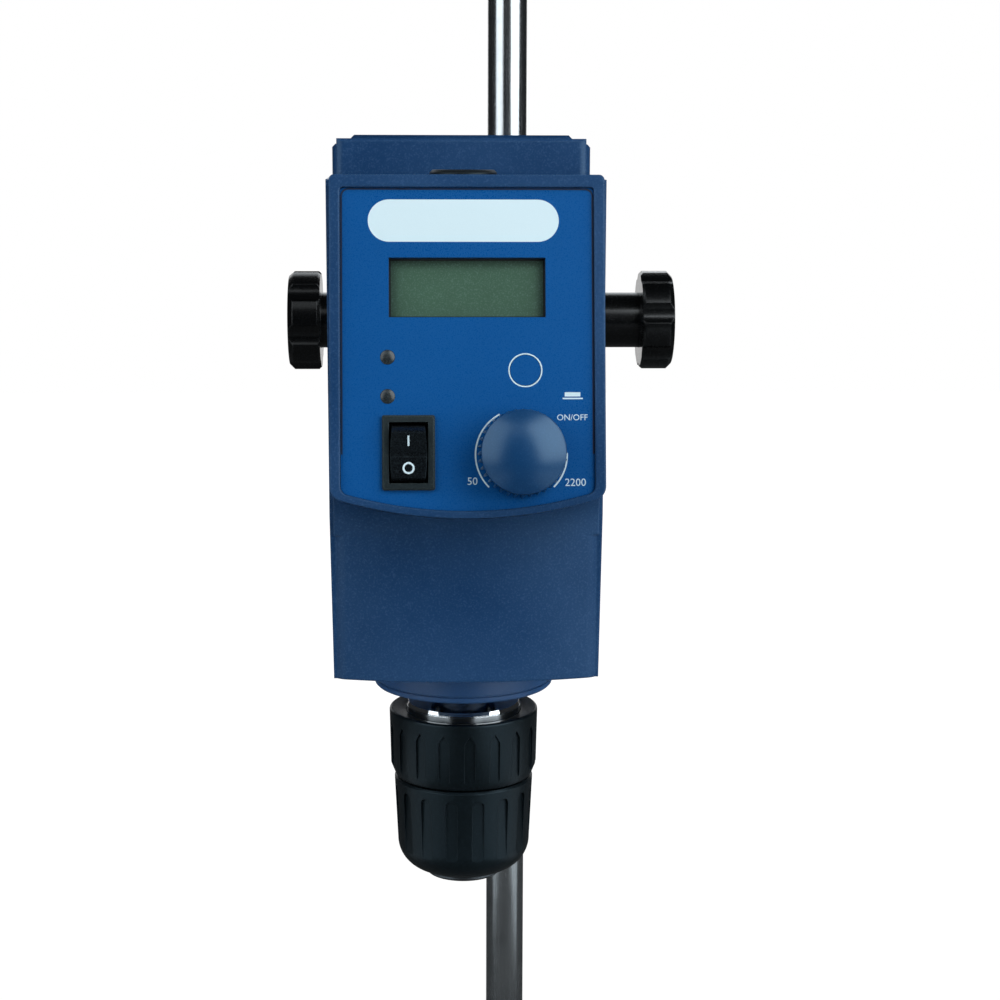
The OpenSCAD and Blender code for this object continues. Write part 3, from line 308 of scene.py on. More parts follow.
class Surface(Nodes):
    """The material that a finish builds, with coordinates in millimetres."""

    EDGE_REACH = 0.25  # how far a rounded normal leans where an edge counts as fully worn
    MIDDLE: Point2 = (0.3, 0.7)  # the values that most of a noise lies between

    def __init__(self, name: str) -> None:
        """Start a material with object coordinates in millimetres."""
        self.material = bpy.data.materials.new(name)
        self.material.use_nodes = True
        super().__init__(self.material.node_tree)
        self.place = self.add("ShaderNodeVectorMath",
                              {0: self.add("ShaderNodeTexCoord")["Object"], "Scale": MM},
                              operation="SCALE")["Vector"]

    def noise(self, size: float, detail: float = 2.0, place: Optional[Socket] = None,
              rough: float = 0.5) -> Socket:
        """Return noise whose grains are so many millimetres apart."""
        return self.add("ShaderNodeTexNoise",
                        {"Vector": place or self.place, "Scale": 1.0 / size, "Detail": detail,
                         "Roughness": rough})["Fac"]

    def share(self, value: Socket, start: float, full: float, most: float) -> Socket:
        """Return 0 up to a value's start, and the most from where it is full."""
        return self.ranged(value, (start, full), (0.0, most))

    def around(self, value: Socket, target: Point2) -> Socket:
        """Spread the middle of a noise over a range."""
        return self.ranged(value, self.MIDDLE, target)

    def mixed(self, share: Socket, first: Any, second: Any) -> Socket:
        """Mix two colours, each a hex string or a socket."""
        pair = [linear(c) if isinstance(c, str) else c for c in (first, second)]
        return self.add("ShaderNodeMix", {0: share, 6: pair[0], 7: pair[1]}, data_type="RGBA")[2]

    def rounded(self, radius: float) -> Socket:
        """Return a normal that runs round the edges with this radius in millimetres."""
        return self.add("ShaderNodeBevel", {"Radius": radius / MM}, samples=4)["Normal"]

    def worn_edges(self, rounded: Socket, share: float) -> Socket:
        """Return a share on sharp edges and 0 away from them, from a rounded normal."""
        flat = self.add("ShaderNodeNewGeometry")["Normal"]
        dot = self.add("ShaderNodeVectorMath", {0: rounded, 1: flat},
                       operation="DOT_PRODUCT")["Value"]
        edge = self.ranged(dot, (1.0, 1.0 - self.EDGE_REACH), (0.0, 1.0))
        return self.math("MULTIPLY", edge, share)

    def raise_by(self, height: Socket, depth: float, normal: Optional[Socket] = None) -> Socket:
        """Return a normal tilted by a height whose full range is depth millimetres."""
        inputs: dict[Any, Any] = {"Height": height, "Distance": depth / MM, "Strength": 1.0}
        if normal is not None:
            inputs["Normal"] = normal
        return self.add("ShaderNodeBump", inputs)["Normal"]

    def shaded(self, **values: Any) -> Socket:
        """Return a Principled shader; an underscore in an input's name stands for a space."""
        inputs = {key.replace("_", " "): value for key, value in values.items()}
        return self.add("ShaderNodeBsdfPrincipled", inputs)["BSDF"]

    def finished(self, shader: Socket) -> Material:
        """Send a shader to the output and return the material."""
        self.add("ShaderNodeOutputMaterial", {"Surface": shader})
        return self.material


# ---------- finishes ----------


@dataclass(frozen=True)
class Relief:
    """One scale of fine surface relief.

    Attributes:
        size: distance between its high spots, in millimetres.
        depth: how far it rises, in millimetres.
        detail: octaves of finer relief on top.
    """

    size: float
    depth: float
    detail: float = 2.0


@dataclass(frozen=True)
class Finish:
    """What every finish has.

    Attributes:
        name: material name.
        colour: its own colour.
        second: the colour that shows where it is worn, dusty or in its gaps.
    """

    name: str
    colour: str
    second: str

    def shade(self, s: Surface) -> Socket:
        """Return the finish's shader."""
        raise NotImplementedError

    def build(self) -> Material:
        """Build the material."""
        s = Surface(self.name)
        return s.finished(self.shade(s))


@dataclass(frozen=True)
class MouldedPlastic(Finish):
    """Injection-moulded plastic from a spark-eroded mould: an even matt grain and soft edges.

    Attributes:
        roughness: mean roughness.
        grain: the mould's erosion texture.
        edge: radius of the moulded edges, in millimetres.
        wear: how far rubbed edges turn to the second colour.
        ior: about 1.52 for ABS and 1.58 for polycarbonate blends.
        coat: share of a second, softer gloss from a polished mould.
        gloss: tint of the pigment in the skin's sheen.
    """

    roughness: float
    grain: Relief
    edge: float = 0.4
    wear: float = 0.25
    ior: float = 1.5
    coat: float = 0.0
    gloss: str = "#B9D8EA"

    def shade(self, s: Surface) -> Socket:
        """Return the finish's shader."""
        fine = s.noise(self.grain.size, self.grain.detail)
        flow = s.share(s.noise(38.0, 3.0), start=0.35, full=0.7, most=0.16)
        specks = s.share(fine, start=0.5, full=0.78, most=0.32)
        rounded = s.rounded(self.edge)
        speckled = s.mixed(specks, s.mixed(flow, self.colour, self.second), self.second)
        return s.shaded(
            Base_Color=s.mixed(s.worn_edges(rounded, self.wear), speckled, self.second),
            Roughness=s.around(fine, (self.roughness - 0.05, self.roughness + 0.06)),
            Normal=s.raise_by(fine, self.grain.depth, rounded), IOR=self.ior,
            Specular_Tint=linear(self.gloss), Coat_Weight=self.coat, Coat_Roughness=0.25)


@dataclass(frozen=True)
class PolishedPlastic(Finish):
    """Phenolic or nylon from a polished mould: deep black, glossy, with a faint waviness."""

    roughness: float = 0.18
    edge: float = 0.6
    wear: float = 0.3

    def shade(self, s: Surface) -> Socket:
        """Return the finish's shader."""
        fine = s.noise(0.35, 2.0)
        rounded = s.rounded(self.edge)
        wavy = s.raise_by(s.noise(5.0, 1.0), 0.02, rounded)
        return s.shaded(
            Base_Color=s.mixed(s.worn_edges(rounded, self.wear), self.colour, self.second),
            Roughness=s.ranged(fine, (0.35, 0.75), (self.roughness, self.roughness + 0.12)),
            Normal=s.raise_by(fine, 0.002, wavy), IOR=1.47, Coat_Weight=0.04, Coat_Roughness=0.08)


@dataclass(frozen=True)
class ScreenPrintedFilm(Finish):
    """Polyester film, printed from behind: one flat colour under a fine velvet texture."""

    roughness: float = 0.3
    dust: str = "#7FA3C4"
    gloss: str = "#A9CDE6"

    def shade(self, s: Surface) -> Socket:
        """Return the finish's shader."""
        velvet = s.noise(0.32, 1.5)
        flow = s.share(s.noise(30.0, 2.0), start=0.3, full=0.7, most=0.1)
        dust = s.share(s.noise(2.4, 4.0, rough=0.75), start=0.72, full=0.8, most=0.25)
        base = s.mixed(flow, self.colour, self.second)
        grainy = s.mixed(s.share(velvet, start=0.55, full=0.75, most=0.25), base, self.second)
        return s.shaded(Base_Color=s.mixed(dust, grainy, self.dust), IOR=1.5,
                        Roughness=s.around(velvet, (self.roughness - 0.06, self.roughness + 0.06)),
                        Normal=s.raise_by(velvet, 0.005), Specular_Tint=linear(self.gloss))


@dataclass(frozen=True)
class PrintingInk(Finish):
    """Screen-printing ink: an opaque film with a slightly ragged sheen."""

    def shade(self, s: Surface) -> Socket:
        """Return the finish's shader."""
        fine = s.noise(0.25, 2.0)
        ragged = s.share(fine, start=0.4, full=0.8, most=0.3)
        return s.shaded(Base_Color=s.mixed(ragged, self.colour, self.second), IOR=1.5,
                        Roughness=s.around(fine, (0.38, 0.5)), Normal=s.raise_by(fine, 0.006))


class Lay(Enum):
    """Which way the tool marks of a metal run, as a stretch of the noise along each axis."""

    ALONG_Z = (1.0, 1.0, 0.012)
    ALONG_Y = (1.0, 0.012, 1.0)
    ALONG_X = (0.012, 1.0, 1.0)
    TURNED = (0.0, 0.0, 0.0)
    BLASTED = (1.0, 1.0, 1.0)


@dataclass(frozen=True)
class WorkedMetal(Finish):
    """Drawn, ground, turned or blasted metal: its marks follow the tool, and so does its sheen.

    Attributes:
        roughness: mean roughness.
        lay: direction of the marks.
        pitch: distance between marks in millimetres, as coarse as it needs to show.
        centre: the axis that a turned piece is turned about, x and y in millimetres.
        depth: depth of the marks in millimetres.
        edge: radius of the broken edges, in millimetres.
    """

    roughness: float
    lay: Lay
    pitch: float = 0.3
    centre: Point2 = (0.0, 0.0)
    depth: float = 0.003
    edge: float = 0.25

    def marks(self, s: Surface) -> Socket:
        """Return the noise of the tool marks, in rings on a turned piece."""
        if self.lay is not Lay.TURNED:
            along = s.add("ShaderNodeMapping", {"Vector": s.place, "Scale": self.lay.value})[0]
            return s.noise(self.pitch, 3.0, along, 0.65)
        axis = (-self.centre[0], -self.centre[1], 0.0)
        here = s.split(s.add("ShaderNodeMapping", {"Vector": s.place, "Location": axis})[0])
        flat = s.add("ShaderNodeCombineXYZ", {"X": here["X"], "Y": here["Y"]})[0]
        rings = s.add("ShaderNodeCombineXYZ", {"X": s.length(flat), "Y": here["Z"]})[0]
        return s.noise(self.pitch, 2.0, rings, 0.6)

    def shade(self, s: Surface) -> Socket:
        """Return the finish's shader."""
        marks = self.marks(s)
        blotch = s.share(s.noise(9.0, 3.0), start=0.45, full=0.75, most=0.45)
        stained = s.math("MULTIPLY", blotch, s.around(marks, (0.4, 1.0)))
        rough = (max(self.roughness - 0.06, 0.03), self.roughness + 0.1)
        return s.shaded(Base_Color=s.mixed(stained, self.colour, self.second), Metallic=1.0,
                        Roughness=s.ranged(marks, (0.3, 0.75), rough),
                        Normal=s.raise_by(marks, self.depth, s.rounded(self.edge)))


@dataclass(frozen=True)
class Polished(Finish):
    """Nickel-chrome plate over polished steel: a near mirror with faint haze and wiping marks."""

    def shade(self, s: Surface) -> Socket:
        """Return the finish's shader."""
        haze = s.noise(6.0, 4.0)
        wiped = s.share(haze, start=0.4, full=0.8, most=0.3)
        return s.shaded(Base_Color=s.mixed(wiped, self.colour, self.second), Metallic=1.0,
                        Roughness=s.ranged(haze, (0.3, 0.8), (0.02, 0.08)),
                        Normal=s.raise_by(haze, 0.001, s.rounded(0.12)))


@dataclass(frozen=True)
class PowderCoat(Finish):
    """Baked powder paint on a casting: orange peel about a millimetre apart under a soft gloss."""

    roughness: float = 0.38
    peel: Relief = Relief(1.1, 0.02, 1.0)
    edge: float = 0.5
    wear: float = 0.3

    def shade(self, s: Surface) -> Socket:
        """Return the finish's shader."""
        speck = s.noise(0.4, 2.0)
        rounded = s.rounded(self.edge)
        peel = s.raise_by(s.noise(self.peel.size, self.peel.detail), self.peel.depth, rounded)
        base = s.mixed(s.share(speck, start=0.6, full=0.8, most=0.3), self.colour, self.second)
        return s.shaded(
            Base_Color=s.mixed(s.worn_edges(rounded, self.wear), base, self.second), IOR=1.5,
            Roughness=s.around(speck, (self.roughness - 0.05, self.roughness + 0.08)),
            Normal=s.raise_by(speck, 0.004, peel))


@dataclass(frozen=True)
class LiquidCrystal(Finish):
    """An unlit reflective display behind its window: grey-green, with a fine sparkle, and a painted
    shadow of the window's recess darkening its sides and top.
    """

    sparkle: str
    recess_shadow: str
    half_width: float = 22.0
    top: float = 199.6
    fade: float = 3.0

    def shade(self, s: Surface) -> Socket:
        """Return the finish's shader."""
        cell = s.noise(0.4, 2.0)
        here = s.split(s.place)
        # painted shadow of the window's recess: the colour darkens towards the sides and the top of
        # the display
        side = s.share(s.math("ABSOLUTE", here["X"]), start=self.half_width - self.fade,
                       full=self.half_width, most=0.7)
        upper = s.share(here["Z"], start=self.top - self.fade, full=self.top, most=0.95)
        shaded = s.mixed(s.math("MAXIMUM", side, upper), self.colour, self.recess_shadow)
        film = s.share(s.noise(14.0, 2.0), start=0.35, full=0.7, most=0.35)
        base = s.mixed(film, shaded, self.second)
        sparks = s.share(cell, start=0.5, full=0.75, most=0.4)
        return s.shaded(Base_Color=s.mixed(sparks, base, self.sparkle), IOR=1.49,
                        Roughness=s.around(cell, (0.35, 0.5)), Normal=s.raise_by(cell, 0.004),
                        Coat_Weight=0.6, Coat_Roughness=0.06)


@dataclass(frozen=True)
class CastLens(Finish):
    """Smoke-tinted epoxy of an unlit lamp: dark, glossy, with a paler heart below the dome."""

    def shade(self, s: Surface) -> Socket:
        """Return the finish's shader."""
        fine = s.noise(0.3, 1.0)
        heart = s.share(s.noise(1.6, 1.0), start=0.2, full=0.8, most=1.0)
        return s.shaded(Base_Color=s.mixed(heart, self.colour, self.second), IOR=1.55,
                        Roughness=s.around(fine, (0.2, 0.32)), Normal=s.raise_by(fine, 0.002),
                        Subsurface_Weight=0.1, Subsurface_Scale=0.001)


@dataclass(frozen=True)
class SolderMask(Finish):
    """Fibreglass board under green solder mask, with the weave and the tracks showing through."""

    def shade(self, s: Surface) -> Socket:
        """Return the finish's shader."""
        board, track = linear(self.colour), linear(self.second)
        tracks = s.add("ShaderNodeTexBrick",
                       {"Vector": s.place, "Scale": 0.22, "Mortar Size": 0.03, "Color1": board,
                        "Color2": board, "Mortar": track})["Color"]
        weave = s.noise(0.7, 1.0)
        shown = s.share(weave, start=0.4, full=0.8, most=0.25)
        return s.shaded(Base_Color=s.mixed(shown, tracks, self.second), IOR=1.55,
                        Roughness=s.around(weave, (0.3, 0.42)), Normal=s.raise_by(weave, 0.008))


@dataclass(frozen=True)
class SteelSheets(Finish):
    """A stack of punched electrical sheets, with dark varnish between them."""

    def shade(self, s: Surface) -> Socket:
        """Return the finish's shader."""
        layers = s.add("ShaderNodeTexWave",
                       {"Vector": s.place, "Scale": 0.1, "Distortion": 0.4, "Detail": 1.0},
                       wave_type="BANDS", bands_direction="Z")["Fac"]
        gaps = s.ranged(layers, (0.1, 0.5), (1.0, 0.0))
        return s.shaded(Base_Color=s.mixed(gaps, self.colour, self.second),
                        Metallic=s.ranged(layers, (0.1, 0.4), (0.2, 0.9)),
                        Roughness=s.around(s.noise(4.0, 3.0), (0.42, 0.65)),
                        Normal=s.raise_by(layers, 0.03))


@dataclass(frozen=True)
class CuredRubber(Finish):
    """Moulded rubber: soft black with a bloom of grey in its pores."""

    def shade(self, s: Surface) -> Socket:
        """Return the finish's shader."""
        pore = s.noise(0.5, 3.0)
        bloom = s.share(pore, start=0.5, full=0.8, most=0.4)
        return s.shaded(Base_Color=s.mixed(bloom, self.colour, self.second), IOR=1.52,
                        Roughness=s.around(pore, (0.72, 0.88)), Normal=s.raise_by(pore, 0.02))


FINISHES: dict[str, Finish] = {
    # ABS mouldings: deep blue, with an erosion grain about half a millimetre apart
    "housing": MouldedPlastic("abs_moulded_blue", "#14375F", "#4A6C96", 0.35,
                              Relief(0.55, 0.018, 3.0), edge=0.9, wear=0.3),
    "knob": MouldedPlastic("abs_satin_blue_knob", "#06345F", "#2C5885", 0.33, Relief(0.4, 0.008),
                           wear=0.2, ior=1.66, coat=0.34, gloss="#9CCBE4"),
    "film": ScreenPrintedFilm("polyester_film_blue", "#0C4F8E", "#1D62A2"),
    "key": ScreenPrintedFilm("polyester_film_blue_key", "#0C4F8E", "#1D62A2"),
    "ink": PrintingInk("screen_ink_pale", "#D6E8EE", "#BAD0DC"),
    # painted shadow: the dark band in the gap between the film and its frame
    "seam": PrintingInk("gap_shade_blue", "#071C38", "#0A2442"),
    "label": PrintingInk("screen_ink_label", "#D9EBF0", "#CFE2E8"),
    # the display's last colour is the painted shadow that its window's recess casts on its sides and
    # top
    "lcd": LiquidCrystal("lcd_reflective_grey_green", "#3B5B47", "#304C3A", "#67887A", "#16261F"),
    "mask": CuredRubber("lcd_frame_black", "#0E1210", "#1E2320"),
    "lens": CastLens("epoxy_lens_smoke", "#1A2023", "#2B3235"),
    # black mouldings: the switch's matt rim and smoother rocker, knobs, sleeves, cap and inlet
    "switch_rim": MouldedPlastic("nylon_rim_black", "#1C2224", "#59625F", 0.34,
                                 Relief(0.3, 0.006), edge=0.3, wear=0.4),
    "rocker": MouldedPlastic("nylon_rocker_black", "#08090B", "#2A3033", 0.28,
                             Relief(0.5, 0.002), edge=0.35, wear=0.3),
    "star": PolishedPlastic("phenolic_black", "#040506", "#24282B"),
    "sleeve": MouldedPlastic("glass_filled_nylon_black", "#060A0C", "#1D282E", 0.35,
                             Relief(0.6, 0.014, 3.0), edge=0.35, wear=0.3),
    "cap": MouldedPlastic("polypropylene_black", "#111315", "#30363A", 0.38,
                          Relief(0.4, 0.006), edge=0.3, wear=0.2),
    "inlet": MouldedPlastic("polyamide_inlet_black", "#121315", "#34383B", 0.5,
                            Relief(0.35, 0.012), edge=0.25, wear=0.2),
    # powder paint on the castings
    "flange": PowderCoat("powder_coat_blue", "#2E5789", "#6688AE"),
    "clamp": PowderCoat("powder_coat_black", "#101214", "#33383C", 0.36, Relief(1.1, 0.012, 1.0)),
    # metals: drawn and ground bars, turned and blasted pieces
    "rod": WorkedMetal("stainless_ground_bar", "#C6C9CB", "#8D9092", 0.2, Lay.ALONG_Z, 0.45),
    "arm": WorkedMetal("stainless_ground_arm", "#C6C9CB", "#8D9092", 0.24, Lay.ALONG_Y, 0.45),
    "spindle": WorkedMetal("stainless_turned", "#C2C5C8", "#85898C", 0.18, Lay.TURNED, 0.22),
    "screw": WorkedMetal("zinc_plated_steel", "#B7BBBF", "#7C8186", 0.3, Lay.BLASTED, 0.5),
    "screw_x": WorkedMetal("zinc_plated_screw", "#B7BBBF", "#7C8186", 0.3, Lay.ALONG_X, 0.5),
    "shaft": WorkedMetal("nickel_plated_shaft", "#BDBFC0", "#888A8B", 0.22, Lay.BLASTED),
    "alu": WorkedMetal("aluminium_turned", "#C9CBCE", "#94979A", 0.28, Lay.TURNED),
    "alu_motor": WorkedMetal("aluminium_turned_motor", "#C9CBCE", "#94979A", 0.28, Lay.TURNED,
                             centre=(0.0, 64.0)),
    "motor_can": WorkedMetal("steel_can_phosphated", "#7F8387", "#55595D", 0.38, Lay.TURNED, 0.5,
                             centre=(0.0, 64.0)),
    "chuck": WorkedMetal("steel_blackened_turned", "#63676B", "#33373A", 0.3, Lay.TURNED, 0.25),
    "jaw": WorkedMetal("steel_hardened_ground", "#96999C", "#5C6063", 0.28, Lay.BLASTED),
    "bearing": WorkedMetal("bearing_steel", "#C4C8CC", "#8A8F94", 0.12, Lay.TURNED, 0.4),
    "chrome": Polished("nickel_chrome_plate", "#E9ECEE", "#BCC0C3"),
    "sheets": SteelSheets("electrical_steel_stack", "#77736C", "#2E2A26"),
    "board": SolderMask("fibreglass_board_green", "#14502F", "#2F7A4D"),
    "belt": CuredRubber("neoprene_black", "#141517", "#2E3033"),
}

FINISH_NODES: dict[str, str] = {
    "rod": "stand_rod",
    "clamp": "clamp_body",
    "star": "left_clamp_knob right_clamp_knob",
    "screw_x": "left_clamp_screw right_clamp_screw",
    "arm": "support_arm",
    "screw": "arm_nut housing_screws board_screws encoder_nut flange_screws plate_screws "
             "spindle_circlip",
    "housing": "front_housing rear_housing",
    "film": "panel_overlay",
    "key": "mode_key",
    "lcd": "display_glass",
    "mask": "display_module",
    "board": "control_board power_board",
    "lens": "indicator_lamps",
    "switch_rim": "switch_body",
    "rocker": "switch_rocker",
    "shaft": "encoder_body encoder_rotor encoder_shaft",
    "knob": "speed_knob",
    "flange": "bearing_flange",
    "bearing": "lower_bearing upper_bearing",
    "alu": "bearing_spacer drive_plate spindle_pulley",
    "motor_can": "motor_can",
    "sheets": "motor_stator motor_rotor",
    "alu_motor": "motor_pulley",
    "belt": "drive_belt",
    "spindle": "spindle",
    "inlet": "mains_inlet",
    "cap": "top_cap",
    "chuck": "chuck_body jaw_nut",
    "chrome": "chuck_dish",
    "sleeve": "upper_sleeve lower_sleeve",
    "jaw": "jaw_1 jaw_2 jaw_3",
}


class Wardrobe:
    """Builds each finish once and dresses nodes and pieces with it."""

    def __init__(self) -> None:
        """Start with no material built."""
        self.built: dict[str, Material] = {}

    def get(self, key: str) -> Material:
        """Return the material of a finish, built on first use."""
        if key not in self.built:
            self.built[key] = FINISHES[key].build()
        return self.built[key]

    def dress_nodes(self) -> None:
        """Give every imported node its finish."""
        finish_of = {node: key for key, nodes in FINISH_NODES.items() for node in nodes.split()}
        for node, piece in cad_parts.items():
            wear_finish(piece, self.get(finish_of[node]))


# ---------- the panel's own frame ----------


@dataclass
class Panel:
    """The leaning control panel: x right, y up the panel, w out of it, in millimetres."""

    tilt: float = 11.2
    front: float = 69.1
    height: float = 137.4
    arc_step: float = 4.0
    arc_least: int = 8
    arc_smooth: float = 30.0

    def point(self, x: float, y: float, w: float) -> Point3:
        """Return a panel point in the part's frame, in millimetres."""
        lean = math.radians(self.tilt)
        return (x, -self.front + y * math.sin(lean) - w * math.cos(lean),
                self.height + y * math.cos(lean) + w * math.sin(lean))

    def matrix(self, x: float, y: float, w: float) -> Matrix:
        """Return the matrix that stands a flat mesh in metres on the panel."""
        turn = Matrix.Rotation(math.radians(90 - self.tilt), 4, "X")
        return Matrix.Translation(Vector(self.point(x, y, w)) / MM) @ turn

    def plate(self, name: str, outline: Sequence[Point2], low: float, high: float) -> Piece:
        """Make a thin plate on the panel.

        Args:
            name: the plate's name.
            outline: its corners in panel millimetres.
            low: its underside's height out of the panel.
            high: its top's height.

        Returns:
            The plate.
        """
        points = [self.point(x, y, w) for w in (low, high) for x, y in outline]
        return mesh_object(name, points, prism_faces(len(outline)))

    def band(self, name: str, centre: Point2, radius: float, width: float, span: Point2,
             low: float, high: float) -> Piece:
        """Make a printed line along an arc, or a closed ring over 360 degrees.

        Args:
            name: the line's name.
            centre: the arc's centre in panel millimetres.
            radius: the line's middle radius.
            width: the line's width.
            span: first and last angle in degrees, counted from the panel's right.
            low: the underside's height out of the panel.
            high: the top's height.

        Returns:
            The line.
        """
        start, extent = span[0], span[1] - span[0]
        closed = extent >= 360
        steps = max(self.arc_least, int(extent / self.arc_step))
        rings = steps if closed else steps + 1
        angles = [math.radians(start + extent * i / steps) for i in range(rings)]
        points = [self.point(centre[0] + r * math.cos(a), centre[1] + r * math.sin(a), w)
                  for a in angles for r in (radius - width / 2, radius + width / 2)
                  for w in (low, high)]
        return mesh_object(name, points, bar_faces(rings, closed), self.arc_smooth)


PANEL = Panel()


def pill(x0: float, x1: float, y0: float, y1: float, steps: int = 24) -> list[Point2]:
    """Return the outline of a bar with round ends."""
    r = (y1 - y0) / 2
    mid = (y0 + y1) / 2
    out = []
    for cx, first in ((x1 - r, -90.0), (x0 + r, 90.0)):
        for i in range(steps + 1):
            a = math.radians(first + 180 * i / steps)
            out.append((cx + r * math.cos(a), mid + r * math.sin(a)))
    return out


def oblong(x0: float, x1: float, y0: float, y1: float) -> list[Point2]:
    """Return a rectangle's corners."""
    return [(x0, y0), (x1, y0), (x1, y1), (x0, y1)]


def sheet(name: str, x: Point2, y: Point2, z: float) -> Piece:
    """Make one level rectangle from its spans along x and y."""
    return mesh_object(name, [(*corner, z) for corner in oblong(*x, *y)], [(0, 1, 2, 3)])


@dataclass
class Lettering:
    """Plain numerals and signs, cut from Blender's own typeface."""

    thickness: float
    cap_share: float = 0.73
    resolution: int = 3

    def cut(self, name: str, words: str, centre: Point2, cap_height: float, w: float) -> Piece:
        """Make a line of characters on the panel.

        Args:
            name: the piece's name.
            words: the characters.
            centre: middle of the line in panel millimetres.
            cap_height: height of a capital in millimetres.
            w: height of the underside out of the panel.

        Returns:
            The characters as one mesh.
        """
        curve = bpy.data.curves.new(name, "FONT")
        curve.body = words
        # cut with capitals one metre high, where the typeface's curves hold, and scaled down after
        curve.size = 1 / self.cap_share
        curve.align_x = "CENTER"
        curve.extrude = self.thickness / cap_height / 2
        curve.resolution_u = self.resolution
        text = placed(name, curve)
        mesh = evaluated(text)
        bpy.data.objects.remove(text)
        bpy.data.curves.remove(curve)
        foot = PANEL.matrix(centre[0], centre[1] - cap_height / 2, w + self.thickness / 2)
        mesh.transform(foot @ Matrix.Scale(cap_height / MM, 4))
        tidy_mesh(mesh)
        return placed(name, mesh)


@dataclass
class PanelPrint:
    """Everything printed on the overlay: label, key ring, dial arc, numerals and push sign.

    The dial's arc is left open below, over dial_open degrees, and not printed between the two
    angles of dial_covered, where the knob hides it.
    """

    top: float = -1.0
    ink: float = 0.02
    label_x: Point2 = (-27.8, 25.8)
    label_y: Point2 = (68.6, 80.5)
    key_centre: Point2 = (16.2, 32.5)
    key_ring: float = 4.6
    line: float = 0.36
    dial_centre: Point2 = (14.95, 8.8)
    dial_radius: float = 12.85
    dial_line: float = 0.44
    dial_open: float = 90.0
    dial_covered: Point2 = (2.0, 118.0)
    numeral: float = 2.2
    slowest: Point2 = (1.2, 1.5)
    fastest: Point2 = (30.1, 1.1)
    sign_bar: tuple[float, float, float, float] = (27.2, 31.6, 25.1, 26.3)
    sign_line: tuple[float, float, float, float] = (26.6, 32.3, 24.35, 24.75)
    switch_words: Point2 = (29.3, 19.3)
    small: float = 1.75

    def build(self, wardrobe: Wardrobe) -> None:
        """Build the label and the printed lines on the head."""
        low, high = self.top, self.top + self.ink
        label = PANEL.plate("panel_label", pill(*self.label_x, *self.label_y), low, high)
        wear_finish(label, wardrobe.get("label"))
        gap = self.dial_open / 2
        arcs = {"dial_high": (gap - 90, self.dial_covered[0]),
                "dial_low": (self.dial_covered[1], 270 - gap)}
        parts = [
            PANEL.band("key_ring", self.key_centre, self.key_ring, self.line, (0, 360), low, high),
            *(PANEL.band(name, self.dial_centre, self.dial_radius, self.dial_line, span, low, high)
              for name, span in arcs.items()),
            PANEL.plate("push_bar", oblong(*self.sign_bar), low, high),
            PANEL.plate("push_line", oblong(*self.sign_line), low, high),
        ]
        letters = Lettering(self.ink)
        for name, words, centre, height in (
                ("slowest", "50", self.slowest, self.numeral),
                ("fastest", "2200", self.fastest, self.numeral),
                ("switch_words", "ON/OFF", self.switch_words, self.small)):
            parts.append(letters.cut(name, words, centre, height, low))
        printed = joined("panel_print", parts)
        wear_finish(printed, wardrobe.get("ink"))
        for piece in (label, printed):
            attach(piece, "head")


@dataclass
class FilmGapShadow:
    """A painted shadow: a dark band in the gap between the film's edge and its frame, at the left,
    the top and the right.
    """

    half_width: float = 35.5
    foot: float = 9.0
    top: float = 83.7
    corner: float = 2.3
    width: float = 0.5
    low: float = -1.02
    high: float = -0.96
    steps: int = 8

    def line(self, inset: float) -> list[Point2]:
        """Return the gap's path, moved inwards, from the left foot to the right one."""
        half, radius, top = self.half_width - inset, self.corner - inset, self.top - inset
        path = [(-half, self.foot)]
        for side, first in ((-1, 180.0), (1, 90.0)):
            for i in range(self.steps + 1):
                a = math.radians(first - 90 * i / self.steps)
                path.append((side * (half - radius) + radius * math.cos(a),
                             top - radius + radius * math.sin(a)))
        return path + [(half, self.foot)]

    def build(self, wardrobe: Wardrobe) -> None:
        """Build the painted shadow of the gap as one thin dark band on the head."""
        pairs = list(zip(self.line(0.0), self.line(self.width)))
        points = [PANEL.point(x, y, w) for pair in pairs for x, y in pair
                  for w in (self.low, self.high)]
        seam = mesh_object("film_gap_shadow", points, bar_faces(len(pairs), closed=False))
        wear_finish(seam, wardrobe.get("seam"))
        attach(seam, "head")


@dataclass
class Display:
    """The frame round the liquid crystal's active field, just behind the window's edge."""

    centre: Point2 = (0.0, 55.8)
    size: Point2 = (44.0, 16.8)
    border: float = 0.55
    lap: float = 0.5
    glass_top: float = -4.1
    thickness: float = 0.05

    def build(self, wardrobe: Wardrobe) -> None:
        """Build the four dark edges of the frame as one closed ring."""
        x, y, half_x, half_y = *self.centre, self.size[0] / 2, self.size[1] / 2
        points = [PANEL.point(x + side * (half_x + grow), y + end * (half_y + grow), w)
                  for side, end in oblong(-1, 1, -1, 1) for grow in (self.lap, -self.border)
                  for w in (self.glass_top, self.glass_top + self.thickness)]
        ring = mesh_object("display_frame", points, bar_faces(4, closed=True))
        wear_finish(ring, wardrobe.get("mask"))
        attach(ring, "head")


